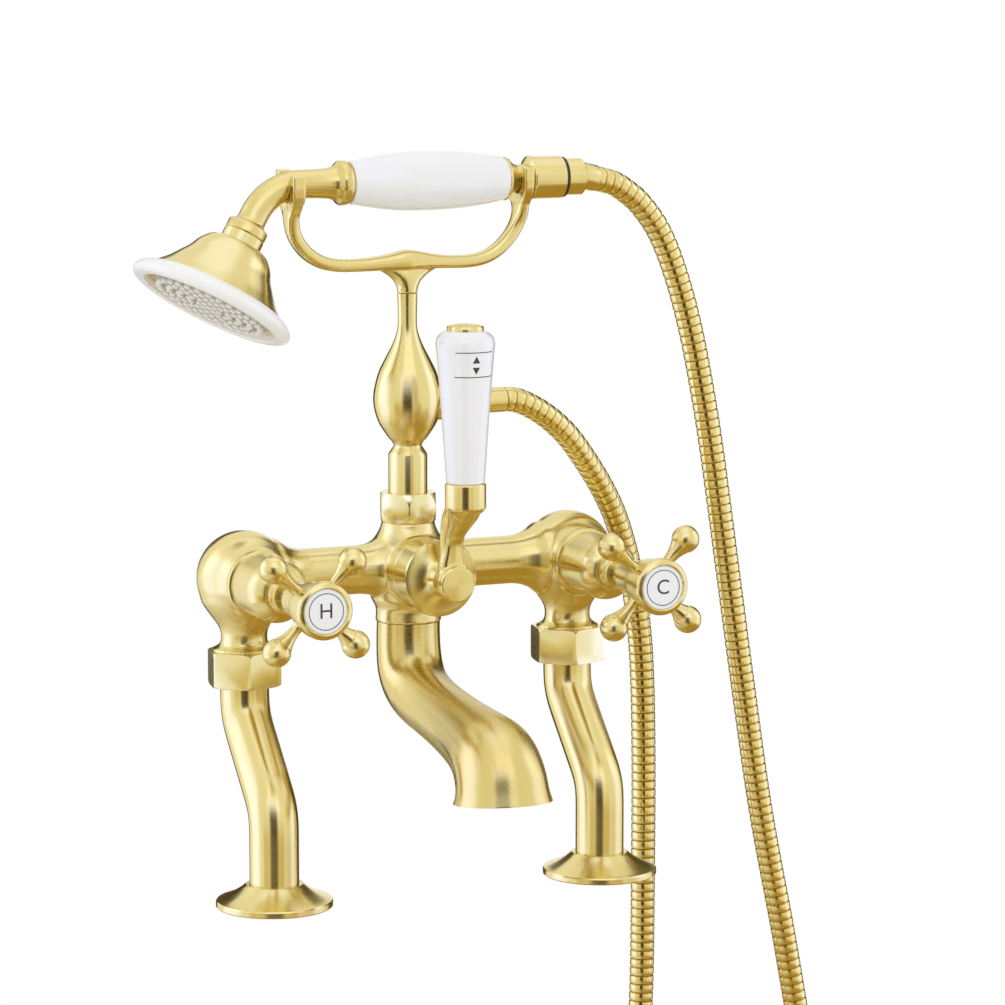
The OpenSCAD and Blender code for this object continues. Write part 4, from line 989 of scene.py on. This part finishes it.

# %% [markdown]
# The silicone is painted darker near the mat, as shade between the nubs, and keeps its white at their
# tips. Two materials would leave a hard line, so the colour changes with the height along the rose's axis.

# %% Silicone of the nozzles
# The grey at the root is painted shade between the nubs, not a greyer silicone.
ROOT_PAINTED_SHADE, PAINTED_SHADE_TALL = (0.54, 0.52, 0.46, 1), 2.4
silicone, tree, shader = white_finish(
    "silicone_nozzles", (0.88, 0.865, 0.81, 1), (0.83, 0.815, 0.75, 1), 0.4, 0.05, 400)
mat_height = rose_start.dot(rose_axis) + ROSE_RUN + MAT_HEAD
rise = vector_step(tree, "DOT_PRODUCT", object_place(tree), rose_axis)
# Painted shade: the colour darkens towards the mat over this height.
root = value_between(tree, rise, 0.0, 1.0, mat_height * MM, (mat_height + PAINTED_SHADE_TALL) * MM)
tip_white = shader.inputs["Base Color"].links[0].from_socket
dress(tree, shader, colour=colour_between(tree, root, ROOT_PAINTED_SHADE, tip_white))
paint(finished["spray_nozzles"], silicone)
# The printed height is that of the painted shade above the mat.
print("silicone is grey for the first", PAINTED_SHADE_TALL, "mm above the mat")

# %% [markdown]
# The pieces that hide inside the mixer keep their CAD shape. They still get a finish of their own,
# so that the part looks right when somebody takes it apart. Rubber, steel and ink share one recipe.

# %% Inner finishes
GRAIN_SCALE, GRAIN_SPREAD = 900.0, 0.06


def plain_finish(name, light, deep, metallic, roughness):
    """A dark or grey finish with a fine grain in its colour and gloss."""
    material, tree, shader = new_material(name)
    shader.inputs["Metallic"].default_value = metallic
    grain = noise(tree, object_place(tree), GRAIN_SCALE)
    dress(tree, shader, colour=colour_between(tree, grain, deep, light),
          gloss=value_between(tree, grain, roughness - GRAIN_SPREAD, roughness + GRAIN_SPREAD))
    return material


rubber = plain_finish("black_rubber_ring", (0.03, 0.022, 0.016, 1), (0.018, 0.014, 0.01, 1), 0.0, 0.5)
machined = plain_finish("machined_steel", (0.6, 0.6, 0.61, 1), (0.5, 0.5, 0.51, 1), 1.0, 0.3)
ink = plain_finish("printed_ink", (0.05, 0.05, 0.055, 1), (0.035, 0.035, 0.04, 1), 0.0, 0.35)
INNER_STEEL = ["hot_cartridge", "cold_cartridge", "diverter_cartridge", "hot_screw", "cold_screw"]
INNER_BRASS = ["spout_nipple", "diverter_spindle", "lever_rod", "handset_tube"]
for node in INNER_STEEL:
    paint(frame["nodes"][node], machined)
for node in INNER_BRASS:
    paint(frame["nodes"][node], BRUSHED["column"])
for piece in (frame["nodes"]["leg_washers"], finished["swivel_ring"]):
    paint(piece, rubber)
for mark in marks:
    paint(mark, ink)
print("inner pieces:", len(INNER_STEEL) + len(INNER_BRASS) + 1)

# %% [markdown]
# The hose is a free cord that somebody may want to simulate, but no call here declares it as one.

# %% Hose cord, not declared
print("the hose is not declared as a cord")

# %% [markdown]
# Metal shows its surroundings, so the studio is drawn for the metal. The world is plain white to the
# camera and to reflections. The light it throws on matt surfaces is a little less than white, so that
# the ceramic and the floor keep their tones.

# %% World
AMBIENT, WHITE = 0.93, (1, 1, 1, 1)
world = bpy.data.worlds.new("white_studio")
bpy.context.scene.world = world
world.use_nodes = True
nodes, links = world.node_tree.nodes, world.node_tree.links
ambient = nodes["Background"]
ambient.inputs["Color"].default_value = WHITE
ambient.inputs["Strength"].default_value = AMBIENT
seen = nodes.new("ShaderNodeBackground")
seen.inputs["Color"].default_value = WHITE
seen.inputs["Strength"].default_value = 1.0
rays = nodes.new("ShaderNodeLightPath")
clear = rays.outputs["Is Camera Ray"]
for ray in ("Is Glossy Ray", "Is Transmission Ray"):
    either = nodes.new("ShaderNodeMath")
    either.operation = "MAXIMUM"
    links.new(clear, either.inputs[0])
    links.new(rays.outputs[ray], either.inputs[1])
    clear = either.outputs[0]
blend_rays = nodes.new("ShaderNodeMixShader")
links.new(clear, blend_rays.inputs["Fac"])
links.new(ambient.outputs[0], blend_rays.inputs[1])
links.new(seen.outputs[0], blend_rays.inputs[2])
links.new(blend_rays.outputs[0], nodes["World Output"].inputs["Surface"])
print("world is white to the camera and to reflections")

# %% [markdown]
# Two tall soft lights stand at the sides and one hangs above, as round a product on a table. Each is a
# large area light, because a small lamp would draw hard shadows. Their places are measured from the
# camera's direction, so left and right mean what the photograph shows.

# %% Lights
STUDIO_CENTRE = Vector((0.05, 0.04, 0.18))
sight = CAMERA_PLACE - STUDIO_CENTRE
TOWARDS_CAMERA = Vector((sight.x, sight.y, 0)).normalized()


def studio_place(angle, distance, height):
    """A place round the object: angle 0 is towards the camera and positive angles go to its right."""
    turn = Matrix.Rotation(radians(angle), 3, "Z")
    return STUDIO_CENTRE + turn @ TOWARDS_CAMERA * distance + Vector((0, 0, height))


def soft_light(name, angle, distance, height, width, tall, radiance):
    """A rectangular light of a given brightness that faces the object."""
    place = studio_place(angle, distance, height)
    turn = (STUDIO_CENTRE - place).to_track_quat("-Z", "Y").to_euler()
    clear_selection()
    bpy.ops.object.light_add(type="AREA", location=place, rotation=turn)
    light = bpy.context.object
    light.name = name
    light.data.shape = "RECTANGLE"
    light.data.size = width
    light.data.size_y = tall
    light.data.energy = radiance * pi * width * tall


soft_light("left_soft_light", -98, 1.5, 0.25, 0.9, 1.7, 0.3)
soft_light("right_soft_light", 104, 1.5, 0.25, 0.8, 1.7, 0.25)
soft_light("top_soft_light", 10, 1.3, 1.5, 1.4, 0.9, 0.35)
print("three soft lights")

# %% [markdown]
# A white room alone would make brass look flat. Photographers stand boards round it: dark ones draw the
# strip down the middle of every tube and the line along its edges, bright ones draw the pale bands.
# These cards are planes that only reflections can see, and their edges fade out.

# %% Making a card


def card_tone(name, tone, feather_x, feather_y):
    """A board with its own even tone that fades out towards its edges."""
    material, tree, shader = new_material(name)
    nodes, links = tree.nodes, tree.links
    nodes.remove(shader)
    parts = nodes.new("ShaderNodeSeparateXYZ")
    links.new(object_place(tree), parts.inputs[0])
    cover = nodes.new("ShaderNodeMath")
    cover.operation = "MULTIPLY"
    for k, (side, feather) in enumerate([("X", feather_x), ("Y", feather_y)]):
        reach = nodes.new("ShaderNodeMath")
        reach.operation = "ABSOLUTE"
        links.new(parts.outputs[side], reach.inputs[0])
        fade = nodes.new("ShaderNodeMapRange")
        fade.interpolation_type = "SMOOTHSTEP"
        fade.inputs["From Min"].default_value = 0.5
        fade.inputs["From Max"].default_value = 0.5 - feather
        links.new(reach.outputs[0], fade.inputs["Value"])
        links.new(fade.outputs["Result"], cover.inputs[k])
    clear = nodes.new("ShaderNodeBsdfTransparent")
    glow = nodes.new("ShaderNodeEmission")
    glow.inputs["Color"].default_value = (*tone, 1)
    blend_card = nodes.new("ShaderNodeMixShader")
    links.new(cover.outputs[0], blend_card.inputs["Fac"])
    links.new(clear.outputs[0], blend_card.inputs[1])
    links.new(glow.outputs[0], blend_card.inputs[2])
    links.new(blend_card.outputs[0], nodes["Material Output"].inputs["Surface"])
    return material


def studio_card(name, place, aim, width, tall, tone, feather):
    """A card that only reflections see. Feather is the soft part of each edge, in metres."""
    turn = (aim - place).to_track_quat("Z", "Y").to_euler()
    clear_selection()
    bpy.ops.mesh.primitive_plane_add(size=1.0, location=place, rotation=turn)
    card = bpy.context.object
    card.name = name
    card.scale = (width, tall, 1)
    paint(card, card_tone(name + "_tone", tone, feather / width, feather / tall))
    card.visible_camera = False
    card.visible_diffuse = False
    card.visible_shadow = False


def upright_card(name, angle, distance, height, width, tall, tone, feather):
    """A card that stands on its edge and faces the object."""
    place = studio_place(angle, distance, height)
    studio_card(name, place, STUDIO_CENTRE + Vector((0, 0, height)), width, tall, tone, feather)


print("cards face", tuple(round(v, 2) for v in STUDIO_CENTRE))

# %% [markdown]
# The cards stand where the photograph's metal shows them. In front are a pale room, a dark strip and a
# golden table. At the sides stand bright panels, with a dark card behind each for the edges of the tubes.
# A bright panel and a ceiling hang above, and a deep golden card lies below.

# %% Cards
LOW_PLACE, CEILING_PLACE = Vector((0.4, 0.04, -0.405)), Vector((0.05, 0.1, 1.5))
upright_card("room_card", 0, 2.3, -0.55, 5.6, 2.5, (0.93, 0.9, 0.78), 0.9)
upright_card("front_card", 0, 2.13, -0.25, 1.7, 3.2, (0.04, 0.02, 0.0), 0.45)
upright_card("table_card", 0, 2.2, -1.18, 5.0, 1.6, (0.66, 0.45, 0.08), 0.4)
upright_card("left_panel", -88, 1.5, 0.0, 1.7, 2.8, (1.34, 1.46, 2.5), 0.55)
upright_card("right_panel", 95, 1.5, 0.0, 1.0, 2.8, (1.22, 1.28, 1.95), 0.25)
upright_card("left_edge_card", -155, 1.2, -0.05, 0.7, 1.3, (0.07, 0.05, 0.015), 0.08)
upright_card("right_edge_card", 150, 1.2, 0.1, 0.95, 1.8, (0.09, 0.07, 0.025), 0.12)
studio_card("high_panel", studio_place(5, 1.55, 0.95), STUDIO_CENTRE, 2.2, 0.85, (1.34, 1.42, 2.1), 0.25)
studio_card("low_card", LOW_PLACE, Vector((0.4, 0.04, 1.0)), 1.9, 2.6, (0.46, 0.3, 0.06), 0.5)
studio_card("ceiling_card", CEILING_PLACE, Vector((0.05, 0.1, 0)), 1.5, 1.5, (1.22, 1.27, 1.7), 0.35)
print("dark cards and bright panels for the metal")

# %% [markdown]
# A pale round floor lies below the hose's loop and takes the soft shadow. It isn't part of the object.
# A faint mottling keeps it from looking like plain paint.

# %% Floor
FLOOR_PLACE, FLOOR_RADIUS = (0.05, 0.04, -0.42), 1.15
clear_selection()
bpy.ops.mesh.primitive_circle_add(
    vertices=ROUND_SIDES, radius=FLOOR_RADIUS, fill_type="NGON", location=FLOOR_PLACE)
floor = bpy.context.object
floor.name = "studio_floor"
floor_white, _, _ = white_finish(
    "floor_board", (0.88, 0.875, 0.86, 1), (0.86, 0.855, 0.84, 1), 0.6, 0.02, 4)
paint(floor, floor_white)
print("floor at", round(floor.location.z, 3))

# %% [markdown]
# Last comes the plain view transform, which shows a colour as it is written.

# %% Finish
bpy.context.scene.view_settings.view_transform = "Standard"
